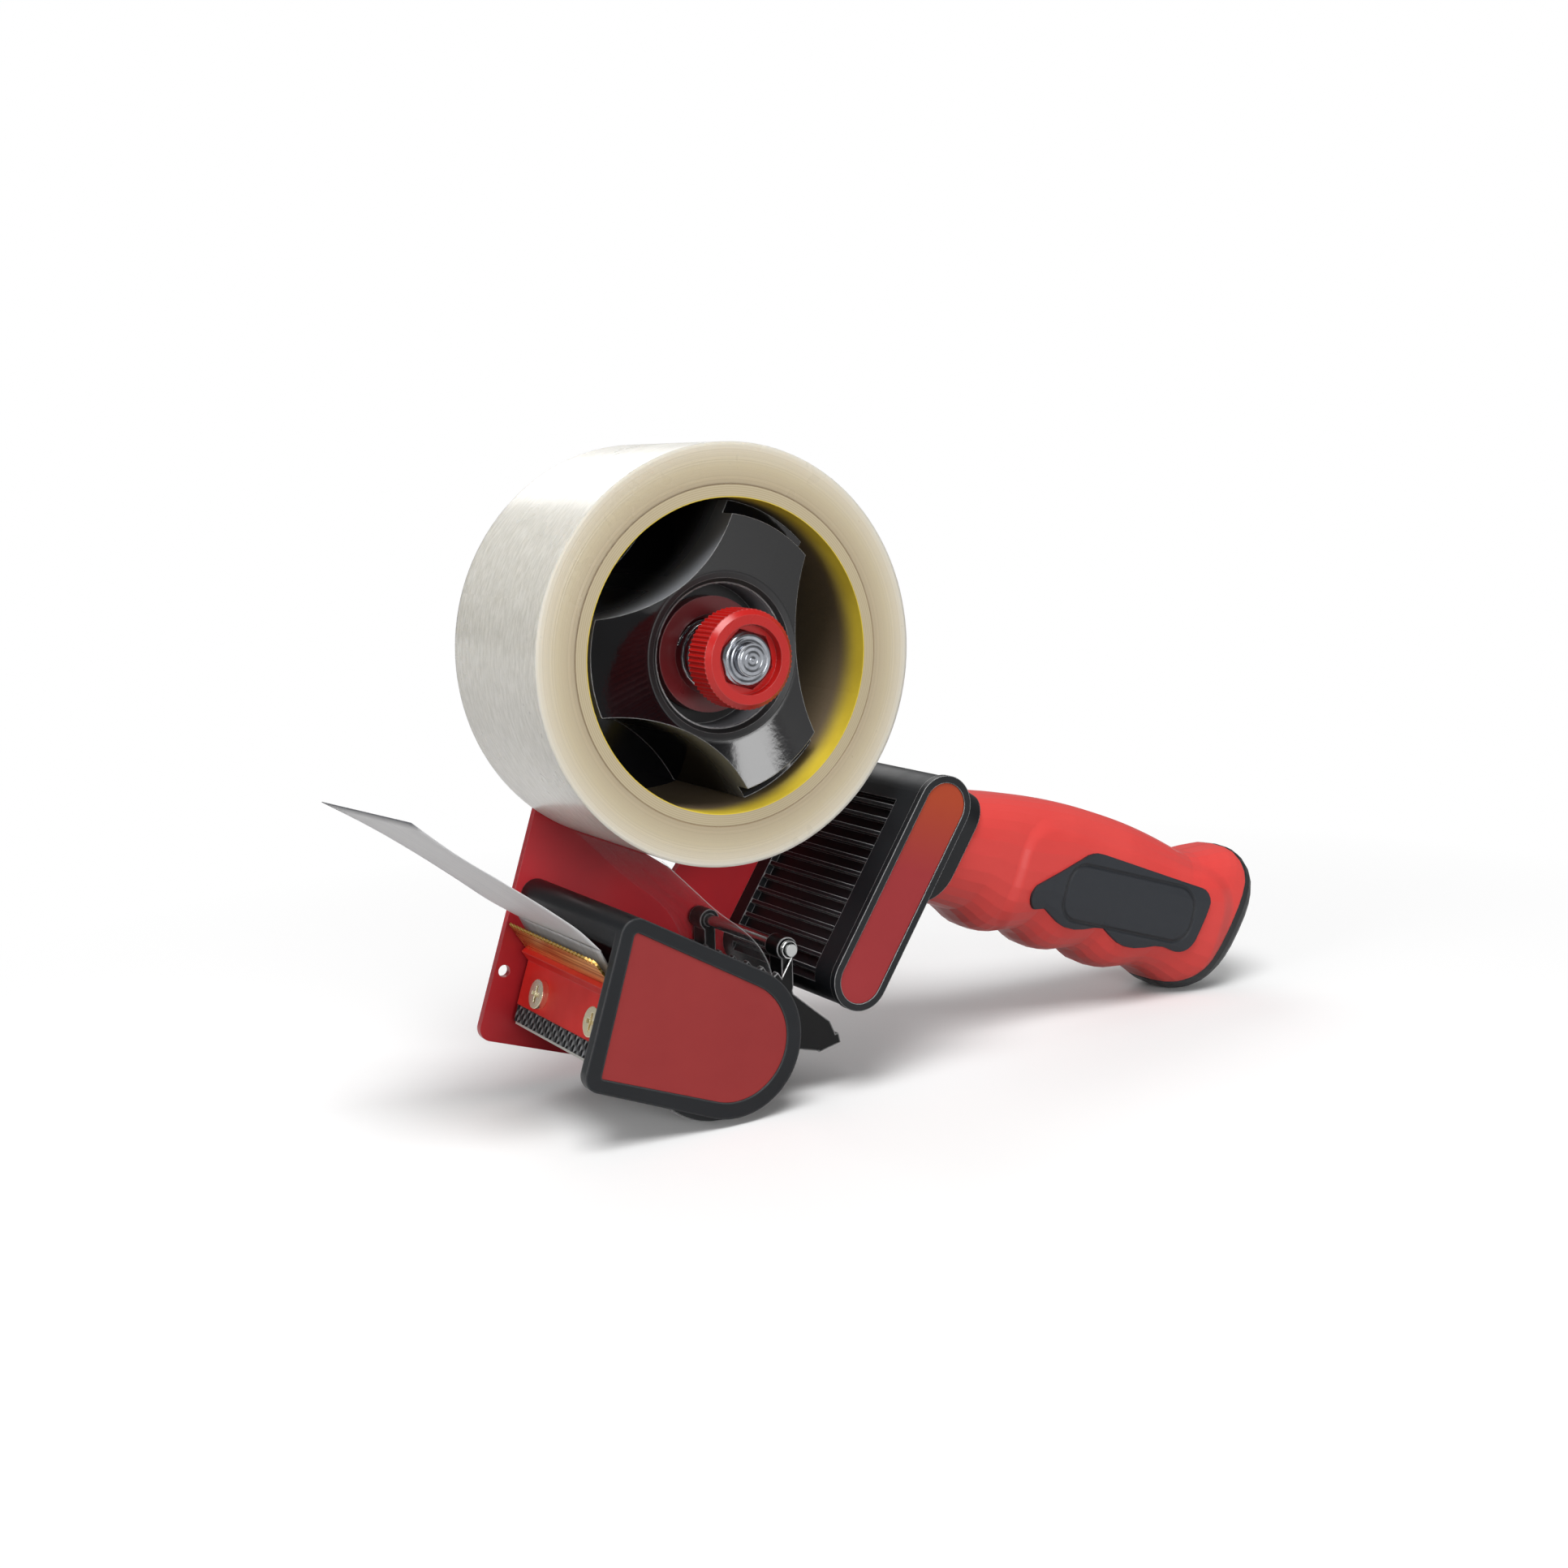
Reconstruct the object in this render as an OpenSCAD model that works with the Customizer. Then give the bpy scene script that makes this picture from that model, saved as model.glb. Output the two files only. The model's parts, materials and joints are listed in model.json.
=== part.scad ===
// Pistol-grip packing-tape dispenser with a roll of tape loaded.
// It is drawn square to its frame plate: x runs from the head back to the handle, z up, and y
// across the tape, with the hub axis at x = z = 0. Then the whole tool is tilted and lifted so
// that it stands on its roller and on the heel of its handle, as it does on a table.

/* [Tape roll] */
// Bore of the cardboard core, a 3 inch core
core_bore = 76.2; // [74:0.1:78]
// Wall of the cardboard core
core_wall = 3; // [2:0.25:4]
// Width of the tape
tape_w = 48; // [44:0.5:50]
// Outer diameter of the wound tape
roll_d = 102.4; // [94:0.2:108]
// Thickness that the loose film is drawn with
film_t = 0.2; // [0.15:0.05:0.4]
// Length of tape that sticks out past the blade
tail_len = 59; // [20:1:75]
// Angle of that tail above the frame's own horizontal
tail_rise = 18; // [5:0.5:30]
// How far the tape stands off the blade's points
tail_lift = 2.4; // [0.4:0.1:3]

/* [Frame plate] */
// Thickness of the steel frame plate
plate_t = 2; // [1.5:0.1:3]
// Gap between the roll's far side and the plate
plate_gap = 2.5; // [2.2:0.1:5]
// How far the front edge of the plate lies ahead of the hub axis
plate_front = 16.3; // [16:0.1:24]
// How far the bottom edge of the plate lies below the hub axis
plate_bottom = 109; // [106:0.5:112]
// Radius of the plate round the hub axis
hub_boss_r = 17; // [14:0.5:22]
// Radius of the bay cut between the hub arm and the front of the plate
bay_r = 24; // [20:0.5:25]
// Diameter of the hanging hole at the front of the plate
hang_hole_d = 3.2; // [2:0.1:5]

/* [Head] */
// How far the near cheek's outer face stands off the near side of the tape
cheek_reach = 7; // [6:0.5:10]
// Thickness of the near cheek
cheek_t = 2.8; // [2.2:0.1:4]
// Radius of the cheek round the roller axis
cheek_r = 18.9; // [17:0.1:19.8]
// Width of the raised bead round the cheek's red panel
bead_w = 3.3; // [2:0.1:3.4]
// Depth of the recess that takes a red side panel
recess_d = 0.9; // [0.5:0.1:1.2]
// Thickness of a red side panel
panel_t = 0.6; // [0.3:0.1:1]
// Height of the top bar that joins the cheek to the plate
top_bar_h = 9; // [7:0.5:10]
// Thickness of the bent sheet that holds the blade
bracket_t = 1.5; // [1:0.1:2]
// Width of the blade from its root to its points
blade_w = 13.8; // [12:0.2:15]
// Thickness of the blade
blade_t = 0.6; // [0.4:0.05:1]
// Pitch of the blade's teeth
tooth_pitch = 2; // [1.5:0.25:4]
// Depth of the blade's teeth
tooth_h = 1.4; // [0.8:0.1:2]
// Upward pitch of the blade toward the front
blade_pitch = 38; // [34:1:42]
// Height of the rubber wiper below the bracket
wiper_h = 4.2; // [3:0.2:6]
// Pitch of the wiper's ribs
wiper_pitch = 1.6; // [1.2:0.1:3]

/* [Roller] */
// Diameter of the rubber roller
roller_d = 40; // [38.4:0.2:41]
// Wall of the rubber sleeve
sleeve_t = 4; // [3:0.25:6]
// Gap at each end of the roller, to the ends of the tape
roller_over = 1.5; // [0.5:0.25:2]
// Diameter of the roller's axle
axle_d = 6; // [5:0.25:8]
// Radial running clearance of every turning fit
run_gap = 0.06; // [0.02:0.01:0.1]
// Distance of the roller axis behind the hub axis
roller_x = 22.5; // [21.5:0.25:23.5]
// Distance of the roller axis below the hub axis
roller_drop = 91.5; // [91:0.25:92]

/* [Retainer flap] */
// Diameter of the flap's pivot pin
flap_pin_d = 3.2; // [3:0.1:4]
// Thickness of one finger of the flap
finger_t = 2; // [1.5:0.25:3]
// Number of fingers across the flap
fingers = 7; // [3:1:9]
// Gap between the flap's fingers and the tape on the roller
flap_gap = 0.3; // [0.3:0.05:0.6]

/* [Rear housing and grip] */
// Half the distance between the round ends of the rear housing
rear_half = 24.5; // [23:0.5:26]
// Radius of the rear housing's round ends
rear_r = 8.05; // [7:0.05:8.4]
// Lean of the rear housing and grip from the plate's own vertical
lean = 14.4; // [12:0.2:17]
// Distance of the rear housing behind the hub axis, at its middle
rear_x = 61.6; // [60:0.1:63]
// Distance of the rear housing below the hub axis, at its middle
rear_drop = 45.7; // [44:0.1:47]
// Number of ribs on the front of the rear housing
ribs = 13; // [9:1:13]
// Pitch of those ribs
rib_pitch = 3.86; // [3:0.02:3.9]
// Thickness of one rib
rib_t = 1.1; // [0.8:0.1:1.6]
// Depth of the pocket that the ribs stand in
rib_pocket = 2; // [1:0.1:2.5]
// Length of the neck behind the rear housing's middle
neck_len = 22.2; // [18:0.2:24]
// Length of the grip, from the end of the neck to the heel
grip_len = 106.8; // [104:0.2:118]
// Width of the grip across the hand
grip_w = 32; // [29:0.5:36]
// Depth of the finger grooves
groove_d = 3.4; // [1.5:0.1:4]
// Thickness of the butt cap at the end of the grip
cap_t = 7.2; // [5:0.1:9]
// How far a rubber pad stands proud of the grip
pad_proud = 0.9; // [0.5:0.1:1.5]

/* [Hub and tension knob] */
// Gap between the hub's lobes and the core
hub_gap = 0.3; // [0.15:0.05:0.6]
// Wall of the hub's lobes
lobe_t = 3.2; // [2.5:0.1:4]
// Radius of the hub's waist between its lobes
waist_r = 20.5; // [19.5:0.25:22]
// How far the hub's front lies inside the roll's near side
hub_inset = 3.5; // [2.5:0.25:5]
// Diameter of the threaded stud
stud_d = 8; // [7:0.25:9]
// Diameter of the tension knob
knob_d = 24.2; // [22:0.2:26]
// Length of the tension knob
knob_len = 9.2; // [9:0.1:12]
// Number of fine flutes round the tension knob
flutes = 60; // [30:2:72]
// Diameter of the red pressure cup
cup_d = 28.6; // [27:0.2:30]
// Wire thickness of the brake spring
spring_wire = 1; // [0.8:0.05:1.1]
// Across flats of the lock nut
nut_af = 13; // [12:0.25:13.5]

/* [Hidden] */
$fn = 72;
seat = 0.05;                    // gap left where two pieces of one body seat
film_gap = 0.3;                 // gap between loose film and what it lies round

// Levels across the tape: near side is negative, the frame plate is on the far side
near_y = -tape_w / 2;
far_y = tape_w / 2;
plate_in = far_y + plate_gap;
plate_out = plate_in + plate_t;
cheek_out = near_y - cheek_reach;
cheek_in = cheek_out + cheek_t;
roller_end = tape_w / 2 + roller_over;

// Places in the side view, as [x, z]
roller_at = [roller_x, -roller_drop];
roller_r = roller_d / 2;
pin_at = roller_at + [15.5, 25.2];
rear_at = [rear_x, -rear_drop];
rear_low = rear_at - rear_half * [sin(lean), cos(lean)];
plate_top = rear_at + (rear_half - 12) * [sin(lean), cos(lean)];
cheek_front = plate_front - 1.9;
cheek_at = roller_at + [1, 0.9];
cheek_low = roller_at[1] - 16.1;
corner_r = bead_w + 0.8;
axle_head = 1.2;                // depth of the near axle screw's head, sunk in the cheek
cheek_corner = [-cheek_front + corner_r, cheek_low + corner_r];
nose_r = 4.3;
nose_at = [-cheek_front + nose_r, roller_at[1] + 21.9];

// Blade, its bracket and the bar behind them
blade_dir = [-cos(blade_pitch), sin(blade_pitch)];
blade_nrm = [sin(blade_pitch), cos(blade_pitch)];
bracket_x = -cheek_front + 5.9;
bend_at = [bracket_x, roller_at[1] + 5.1];
bracket_low = roller_at[1] - 6.5;
bracket_reach = 3.2;
blade_seat = bend_at + bracket_t * blade_nrm;
blade_back = 2.2;
rivet_deep = 1;
blade_root = blade_seat - blade_back * blade_dir;
blade_tip = blade_root + blade_w * blade_dir;
screw_ys = [-tape_w / 2 + 4.9, tape_w / 2 - 11.5];
screw_z = (bracket_low + bend_at[1]) / 2 - 0.8;
wiper_x = bracket_x - 0.4;

// Tape path: off the roll, round the roller, over the root of the blade to its points
roll_r = roll_d / 2;
peel_at = (roll_r + film_gap) * [cos(-95), sin(-95)];
wrap_r = roller_r + film_gap;
over_at = blade_root + (blade_t + film_t + 0.4) * blade_nrm;
tip_at = blade_tip + (blade_t + film_t + tail_lift) * blade_nrm;
tail_dir = [-cos(tail_rise), sin(tail_rise)];
tail_at = tip_at + tail_len * tail_dir;

// Grip, in its own frame: u runs back along the grip, v up its sections
grip_end = neck_len + grip_len;
crown_r = 9.5;
heel_r = 13.5;
crown_at = [grip_end - crown_r, rear_half + 31.8];
heel_at = [grip_end - heel_r, rear_half + 7.5];
swell_u = grip_end - 28;
wave_u = neck_len + 12.8;
wave_len = (swell_u - wave_u) / 3;
edge_r = 6;
tang_w = 10;
grip_screw_len = grip_w - 10;

// Hub
lobe_r = core_bore / 2 - hub_gap;
hub_front = near_y + hub_inset;
hub_back = far_y + 0.3;
lobe_turn = 80;
lobe_step = 3.4;                // the front of the lobes is smaller than the core by this much
step_deep = 4.5;                // and keeps that size for this far behind its rim
face_fall = 3.2;                // the lobes' face falls back this far to their full radius
roll_r_in = 2.8;                // rounding of the hub's face into its drum
gap_r = 45.3;
rim_back = hub_front + face_fall;
step_back = rim_back + step_deep;
drum_in = waist_r - 3;
drum_floor = hub_front + 11.3;
flange_back = hub_back + 1.3;
core_r = core_bore / 2 + core_wall;

// Tension stack on the stud, listed from the hub outward
felt_y = drum_floor - seat;
felt_t = 0.9;
cup_back = felt_y - felt_t - 0.1;
cup_len = 4;
cup_front = cup_back - cup_len;
cup_floor = cup_back - 1.2;
spring_r = 8.4;
washer_r = 9.4;
washer_t = 0.8;
spring_len = 12.2;
washer_back = cup_floor - spring_len;
washer_front = washer_back - washer_t;
knob_back = washer_front - 0.1;
knob_front = knob_back - knob_len;
flute_h = 0.45;
nut_len = 6.4;
nut_front = knob_front + 1.2;
nut_back = nut_front + nut_len;
stud_end = 34.5;

// Stance: the roller's tape and the heel touch the table together
function turned(p, a) = [p[0] * cos(a) + p[1] * sin(a), p[1] * cos(a) - p[0] * sin(a)];
heel_rest = rear_at + turned(heel_at, lean);
span = heel_rest - roller_at;
foot_r = wrap_r + film_t;
stance = atan2(span[1], span[0]) + asin((foot_r - heel_r) / norm(span));
rest_z = foot_r - turned(roller_at, stance)[1];
crown_rest = rear_at + turned(crown_at, lean);
x_front = turned(tail_at, stance)[0];
x_back = max(turned(crown_rest, stance)[0] + crown_r, turned(heel_rest, stance)[0] + heel_r);
rest_x = -(x_front + x_back) / 2;

// ---------- drawing helpers ----------

// Stands the tool on its roller and heel
module stand() {
    translate([rest_x, 0, rest_z]) rotate([0, stance, 0]) children();
}

// The grip's own frame, leaning with the rear housing
module on_grip() {
    translate([rear_at[0], 0, rear_at[1]]) rotate([0, lean, 0]) children();
}

// Turns a side-view outline into a solid between two levels across the tape
module across(y0, y1) {
    translate([0, y1, 0]) rotate([90, 0, 0]) linear_extrude(height = y1 - y0) children();
}

// A round bar across the tape, at a side-view place
module rod(p, r, y0, y1) {
    translate([p[0], y1, p[1]]) rotate([90, 0, 0]) cylinder(r = r, h = y1 - y0);
}

// A ring across the tape
module ring(p, r, bore, y0, y1) {
    difference() {
        rod(p, r, y0, y1);
        rod(p, bore, y0 - 1, y1 + 1);
    }
}

// Unit vector at an angle
function unit(a) = [cos(a), sin(a)];

// Direction of the outer tangent's normal from circle a to circle b, each [x, z, r]
function tangent_angle(a, b) =
    atan2(b[1] - a[1], b[0] - a[0]) - acos((a[2] - b[2]) / norm([b[0] - a[0], b[1] - a[1]]));

// Corner points of the tangents round a ring of circles, anticlockwise
function tangent_points(c) = [
    for (i = [0:len(c) - 1], k = [0, 1])
        let (a = c[i], b = c[(i + 1) % len(c)], n = unit(tangent_angle(a, b)), p = k == 0 ? a : b)
            [p[0] + p[2] * n[0], p[1] + p[2] * n[1]]
];

// Convex outline with round corners, from circles listed anticlockwise as [x, z, r]. The
// circles are a hair larger, so that each arc meets its straight sides at a clean corner.
module rounded(c) {
    polygon(tangent_points(c));
    for (p = c) translate([p[0], p[1]]) circle(p[2] + 0.001);
}

// A slot-shaped outline between two points
module slot(a, b, r) {
    rounded([[a[0], a[1], r], [b[0], b[1], r]]);
}

// Points of an arc, for outlines that aren't all tangents
function arc(p, r, a0, a1, n) = [for (i = [0:n]) p + r * unit(a0 + (a1 - a0) * i / n)];

// A band of a ring between two angles
module band(p, r0, r1, a0, a1) {
    polygon(concat(arc(p, r1, a0, a1, 24), arc(p, r0, a1, a0, 24)));
}

// Pan-head screw along y: head outside level y, shank to the near side
module pan_screw(p, y, head_r, shank_r, shank) {
    rod(p, head_r, y, y + 1.9);
    rod(p, shank_r, y - shank, y + 0.1);
}

// ---------- frame and head ----------

screw_places = [
    nose_at + [3, -2.2],
    [bracket_x + bracket_t + 2.6, bracket_low + 2.6],
    plate_top,
    rear_low + 9 * [sin(lean), cos(lean)],
];
screw_r = 1.5;
screw_len = 9;
hang_at = [-plate_front + 2.7, roller_at[1] + 1];
bay_at = [6.1, -46.5];

module frame_plate() {
    front_top = [-plate_front + 3, -47];
    color("firebrick")
    difference() {
        across(plate_in, plate_out) {
            rounded([
                [-plate_front + 3.5, -plate_bottom + 3.5, 3.5],
                [roller_at[0], roller_at[1], roller_at[1] + plate_bottom],
                [pin_at[0], pin_at[1], 4.7],
                [25.5, -58.2, 3],
                [front_top[0], front_top[1], 3],
            ]);
            difference() {
                rounded([
                    [0, 0, hub_boss_r],
                    [pin_at[0] + 1.5, pin_at[1] + 1, 6],
                    [rear_low[0], rear_low[1], rear_r],
                    [plate_top[0], plate_top[1], rear_r - 2],
                ]);
                translate(bay_at) circle(bay_r);
            }
        }
        rod([0, 0], stud_d / 2 + seat, plate_in - 1, plate_out + 1);
        rod(roller_at, 2 + seat, plate_in - 1, plate_out + 1);
        rod(pin_at, flap_pin_d / 2 + seat, plate_in - 1, plate_out + 1);
        rod(hang_at, hang_hole_d / 2, plate_in - 1, plate_out + 1);
        for (p = screw_places) rod(p, screw_r + seat, plate_in - 1, plate_out + 1);
    }
}

module plate_screws() {
    color("silver")
    for (p = screw_places) pan_screw(p, plate_out, 3.2, screw_r, screw_len);
}

// Outline of the near cheek
module cheek_outline() {
    rounded([
        [cheek_corner[0], cheek_corner[1], corner_r],
        [cheek_at[0], cheek_at[1], cheek_r],
        [nose_at[0], nose_at[1], nose_r],
    ]);
}

// Outline of the cheek's red panel: a wider bead is left at the foot and round the roller
module panel_outline(margin) {
    rounded([
        [cheek_corner[0] + 0.9, cheek_corner[1] + 0.1, corner_r - bead_w - margin],
        [cheek_at[0] - 0.1, cheek_at[1] + 0.1, cheek_r - bead_w - 0.7 - margin],
        [nose_at[0] + 0.2, nose_at[1] - 0.2, max(0.9, nose_r - bead_w - margin)],
    ]);
}

module head_housing() {
    bar_back = -cheek_front + 19;
    color("#2e3236")
    difference() {
        union() {
            across(cheek_out, cheek_in) cheek_outline();
            // Top bar behind the nose of the cheek
            across(cheek_in - 0.5, plate_in) rounded([
                [nose_at[0] - 1.6, nose_at[1] + nose_r - top_bar_h + 2, 2],
                [bar_back - 4.5, nose_at[1] + nose_r - top_bar_h + 1.4, 2],
                [bar_back - 2, nose_at[1] - 2.6, 2],
                [nose_at[0], nose_at[1], nose_r],
            ]);
            // Wedge-shaped bar behind the blade bracket
            across(cheek_in - 0.5, plate_in) polygon([
                [bracket_x + bracket_t, bracket_low],
                [bracket_x + bracket_t + 6.4, bracket_low],
                [bracket_x + bracket_t + 1.6, bend_at[1] - 2.4],
                [bracket_x + bracket_t, bend_at[1] - 1.2],
            ]);
        }
        across(cheek_out - 1, cheek_out + recess_d) panel_outline(0);
        rod(roller_at, 2 + seat, cheek_out - 1, cheek_in + 1);
        rod(roller_at, 3.2 + seat, cheek_out - 1, cheek_out + recess_d + axle_head);
        for (i = [0, 1]) rod(screw_places[i], screw_r + seat, plate_out - screw_len - 1, plate_in + 1);
        for (y = screw_ys)
            translate([bracket_x, y, screw_z]) rotate([0, 90, 0]) cylinder(r = screw_r + seat, h = 5);
    }
}

module head_side_panel() {
    color("#b23a3c")
    across(cheek_out + recess_d - panel_t, cheek_out + recess_d) panel_outline(seat);
}

module blade_bracket() {
    // The flat front and the flange under the blade, bent at one corner
    color("#b5302f")
    difference() {
        across(-tape_w / 2 - 1, tape_w / 2 + 1) polygon([
            [bracket_x, bracket_low],
            bend_at,
            bend_at + bracket_reach * blade_dir,
            bend_at + bracket_reach * blade_dir + bracket_t * blade_nrm,
            bend_at + bracket_t * blade_nrm,
            bend_at + bracket_t * [1, 0],
            [bracket_x + bracket_t, bracket_low],
        ]);
        for (y = screw_ys)
            translate([bracket_x - 1, y, screw_z]) rotate([0, 90, 0])
                cylinder(r = screw_r + seat, h = bracket_t + 2);
        rivet_rows() rivet_hole();
    }
}

module bracket_screws() {
    color("#e8c860")
    for (y = screw_ys) translate([bracket_x, y, screw_z]) rotate([0, 90, 0]) {
        difference() {
            translate([0, 0, -1.8]) cylinder(r = 3.75, h = 1.8);
            for (a = [0, 90]) rotate(a) translate([-2.2, -0.5, -2.8]) cube([4.4, 1, 2]);
        }
        translate([0, 0, -0.1]) cylinder(r = screw_r, h = bracket_t + 3.2);
    }
}

// Frame with x along the blade from root to points and z up off the bracket
module on_blade() {
    translate([blade_root[0], 0, blade_root[1]]) rotate([0, blade_pitch - 180, 0])
        mirror([0, 0, 1]) children();
}

module rivet_rows() {
    for (y = [-tape_w / 3, 0, tape_w / 3])
        on_blade() translate([blade_back + 1.3, y, 0]) children();
}

// The rivets stop inside the bracket's sheet
module rivet_hole() {
    translate([0, 0, -rivet_deep]) cylinder(r = 0.9 + seat, h = rivet_deep + blade_t + 1);
}

module blade() {
    half = tape_w / 2 + 1;
    count = floor(2 * half / tooth_pitch);
    start = -count * tooth_pitch / 2;
    color("#d9a941")
    difference() {
        on_blade() linear_extrude(height = blade_t) polygon(concat(
            [[0, -half], [0, half], [blade_w - tooth_h, half]],
            [for (i = [0:2 * count]) [
                blade_w - tooth_h * (i % 2 == 0 ? 1 : 0),
                -start - i * tooth_pitch / 2,
            ]],
            [[blade_w - tooth_h, -half]]
        ));
        rivet_rows() rivet_hole();
    }
}

module blade_rivets() {
    color("silver")
    rivet_rows() translate([0, 0, -rivet_deep]) cylinder(r = 0.9, h = rivet_deep + blade_t);
}

module wiper_strip() {
    half = tape_w / 2;
    count = floor(2 * half / wiper_pitch) - 1;
    color("#3b3e41") {
        across(-half, half) translate([wiper_x + 0.8, bracket_low - wiper_h])
            square([6.4, wiper_h]);
        for (i = [0:count]) translate([
            wiper_x, -half + (i + 0.75) * wiper_pitch - 0.5 * wiper_pitch, bracket_low - wiper_h
        ]) cube([1, wiper_pitch / 2, wiper_h]);
    }
}

module wiper_backing() {
    color("gainsboro")
    across(-tape_w / 2, tape_w / 2)
        translate([wiper_x + 0.8, bracket_low - wiper_h - 0.8]) square([6.4, 0.8]);
}

// ---------- roller and retainer flap ----------

module roller_sleeve() {
    color("#26282b")
    ring(roller_at, roller_r, roller_r - sleeve_t, -roller_end, roller_end);
}

module roller_core() {
    core_out = roller_r - sleeve_t - seat;
    hub_r = axle_d / 2 + 3;
    color("#d8d8d2") {
        ring(roller_at, core_out, core_out - 2.2, -roller_end, roller_end);
        ring(roller_at, hub_r, axle_d / 2 + run_gap, -roller_end, roller_end);
        for (a = [0:60:300])
            translate([roller_at[0], 0, roller_at[1]]) rotate([0, a, 0])
                translate([hub_r - 0.4, -roller_end + 1, -0.8])
                    cube([core_out - hub_r - 1.2, 2 * roller_end - 2, 1.6]);
    }
}

module roller_axle() {
    color("silver")
    difference() {
        union() {
            rod(roller_at, axle_d / 2, cheek_in, plate_in);
            rod(roller_at, 2, cheek_out + recess_d + axle_head + seat, plate_out);
        }
        for (y = [cheek_out, plate_out - 8]) rod(roller_at, 1.2 + seat, y, y + 9);
    }
}

module roller_spacers() {
    color("white") {
        ring(roller_at, axle_d / 2 + 2.5, axle_d / 2 + seat, cheek_in + seat, -roller_end - 0.2);
        ring(roller_at, axle_d / 2 + 2.5, axle_d / 2 + seat, roller_end + 0.2, plate_in - seat);
    }
}

module axle_screws() {
    color("silver") {
        pan_screw(roller_at, plate_out, 3.4, 1.2, 7);
        // The near screw is sunk in the cheek, under its panel
        rod(roller_at, 3.2, cheek_out + recess_d + seat, cheek_out + recess_d + axle_head);
        rod(roller_at, 1.2, cheek_out + recess_d + axle_head - 0.1, cheek_out + 7);
    }
}

// Room that the flap's fingers wrap round: the tape on the roller
shoe_r = roller_r + film_gap + film_t + flap_gap;
flap_near = -tape_w / 2 + 3;
flap_far = tape_w / 2 + 1;
toe = roller_at + [35, 3.8];

module retainer_flap() {
    back_r = shoe_r + 2.6;
    arm_w = 6;
    color("#212427")
    difference() {
        union() {
            // Two arms hang the flap on its pin
            for (y = [flap_near, flap_far - arm_w]) {
                rod(pin_at, flap_pin_d / 2 + 1.3, y, y + arm_w);
                across(y, y + arm_w) slot(pin_at, roller_at + (back_r + 0.9) * unit(40), 1.6);
            }
            across(flap_near, flap_far) {
                band(roller_at, back_r, back_r + 1.8, 44, -6);
                slot(roller_at + (back_r + 0.9) * unit(4), toe + [-2, -1.5], 1.1);
                translate(toe) rotate(32) translate([-3.3, -1.3]) square([6.6, 2.6]);
            }
            for (i = [0:fingers - 1]) {
                y = flap_near + i * (flap_far - flap_near - finger_t) / (fingers - 1);
                across(y, y + finger_t) {
                    band(roller_at, shoe_r, back_r + 0.5, 52, -6);
                    polygon([
                        roller_at + (back_r + 1.4) * unit(36),
                        toe + [-1.4, 5.4],
                        toe + [1.2, 2.6],
                        toe + [1, 0.6],
                        toe + [-2, -1.4],
                        roller_at + (back_r + 0.5) * unit(2),
                    ]);
                }
            }
        }
        rod(pin_at, flap_pin_d / 2 + run_gap, flap_near - 1, flap_far + 1);
    }
}

module flap_pin() {
    color("silver")
    rod(pin_at, flap_pin_d / 2, flap_near - 2.4, plate_out + 0.6);
}

module flap_spring() {
    wire = 0.6;
    coil_r = flap_pin_d / 2 + 0.2 + wire / 2;
    first = flap_near - 0.3 - wire / 2;
    color("gainsboro") {
        for (i = [0:1])
            translate([pin_at[0], first - i * 0.9 * wire, pin_at[1]])
                rotate([90, 0, 0]) rotate_extrude($fn = 96) translate([coil_r, 0]) circle(wire / 2, $fn = 32);
        // Leg that leans down beside the flap's shoe
        translate([pin_at[0] + coil_r, first, pin_at[1]]) rotate([0, 194, 0])
            cylinder(r = wire / 2, h = 7.4, $fn = 32);
    }
}

// ---------- rear housing and grip ----------

rear_body_r = rear_r - 0.4;
rib_top = 5 * rib_pitch;        // the topmost rib, above the housing's middle
ring_t = 2;

module stadium(r) {
    slot([0, -rear_half], [0, rear_half], r);
}

// Section of the tang that the grip's shells close on
module tang_outline(margin) {
    rounded([
        [neck_len - 6, rear_half - 8, 6 + margin],
        [grip_end - 30, rear_half + 8, 5 + margin],
        [grip_end - 30, rear_half + 19, 5 + margin],
        [neck_len - 6, rear_half - 2, 6 + margin],
    ]);
}

module rear_housing() {
    color("#2e3236")
    on_grip() difference() {
        union() {
            across(cheek_out + ring_t - 0.5, plate_in) stadium(rear_body_r);
            across(cheek_out, cheek_out + ring_t) stadium(rear_r);
            neck();
            across(-tang_w / 2, tang_w / 2) tang_outline(0);
        }
        across(cheek_out - 1, cheek_out + recess_d) stadium(rear_r - 1.9);
        difference() {
            translate([-rear_body_r - 1, -tape_w / 2 + 3, rib_top - ribs * rib_pitch])
                cube([rib_pocket + 1, tape_w - 6, ribs * rib_pitch + 2]);
            for (i = [0:ribs - 1])
                translate([-rear_body_r + 0.3, -tape_w / 2, rib_top - i * rib_pitch - rib_t / 2])
                    cube([rib_pocket + 1, tape_w, rib_t]);
        }
        for (s = [rear_half - 12, -rear_half + 9])
            rod([0, s], screw_r + seat, plate_out - screw_len - 1, plate_in + 1);
        for (p = grip_screw_places) rod(p, 2 + seat, -tang_w, tang_w);
    }
}

// The neck behind the housing: an upright oval collar that the grip's shells butt on
module neck() {
    top = grip_top(neck_len);
    low = grip_low(neck_len);
    mid = (top + low) / 2;
    intersection() {
        translate([0, 0, mid]) rotate([0, 90, 0]) linear_extrude(height = neck_len)
            rounded([
                for (c = [[-1, -1], [1, -1], [1, 1], [-1, 1]])
                    [c[0] * ((top - low) / 2 - 9.2), c[1] * (grip_w / 2 - 8.2), 9.2]
            ]);
        // Its top and bottom run on from the housing's round ends
        across(-grip_w, grip_w) rounded([
            [0.4, -rear_half, rear_body_r - 0.6],
            [neck_len + 4, low + 3, 4],
            [neck_len + 4, top - 3, 4],
            [0.4, rear_half, rear_body_r - 0.6],
        ]);
    }
}

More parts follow.
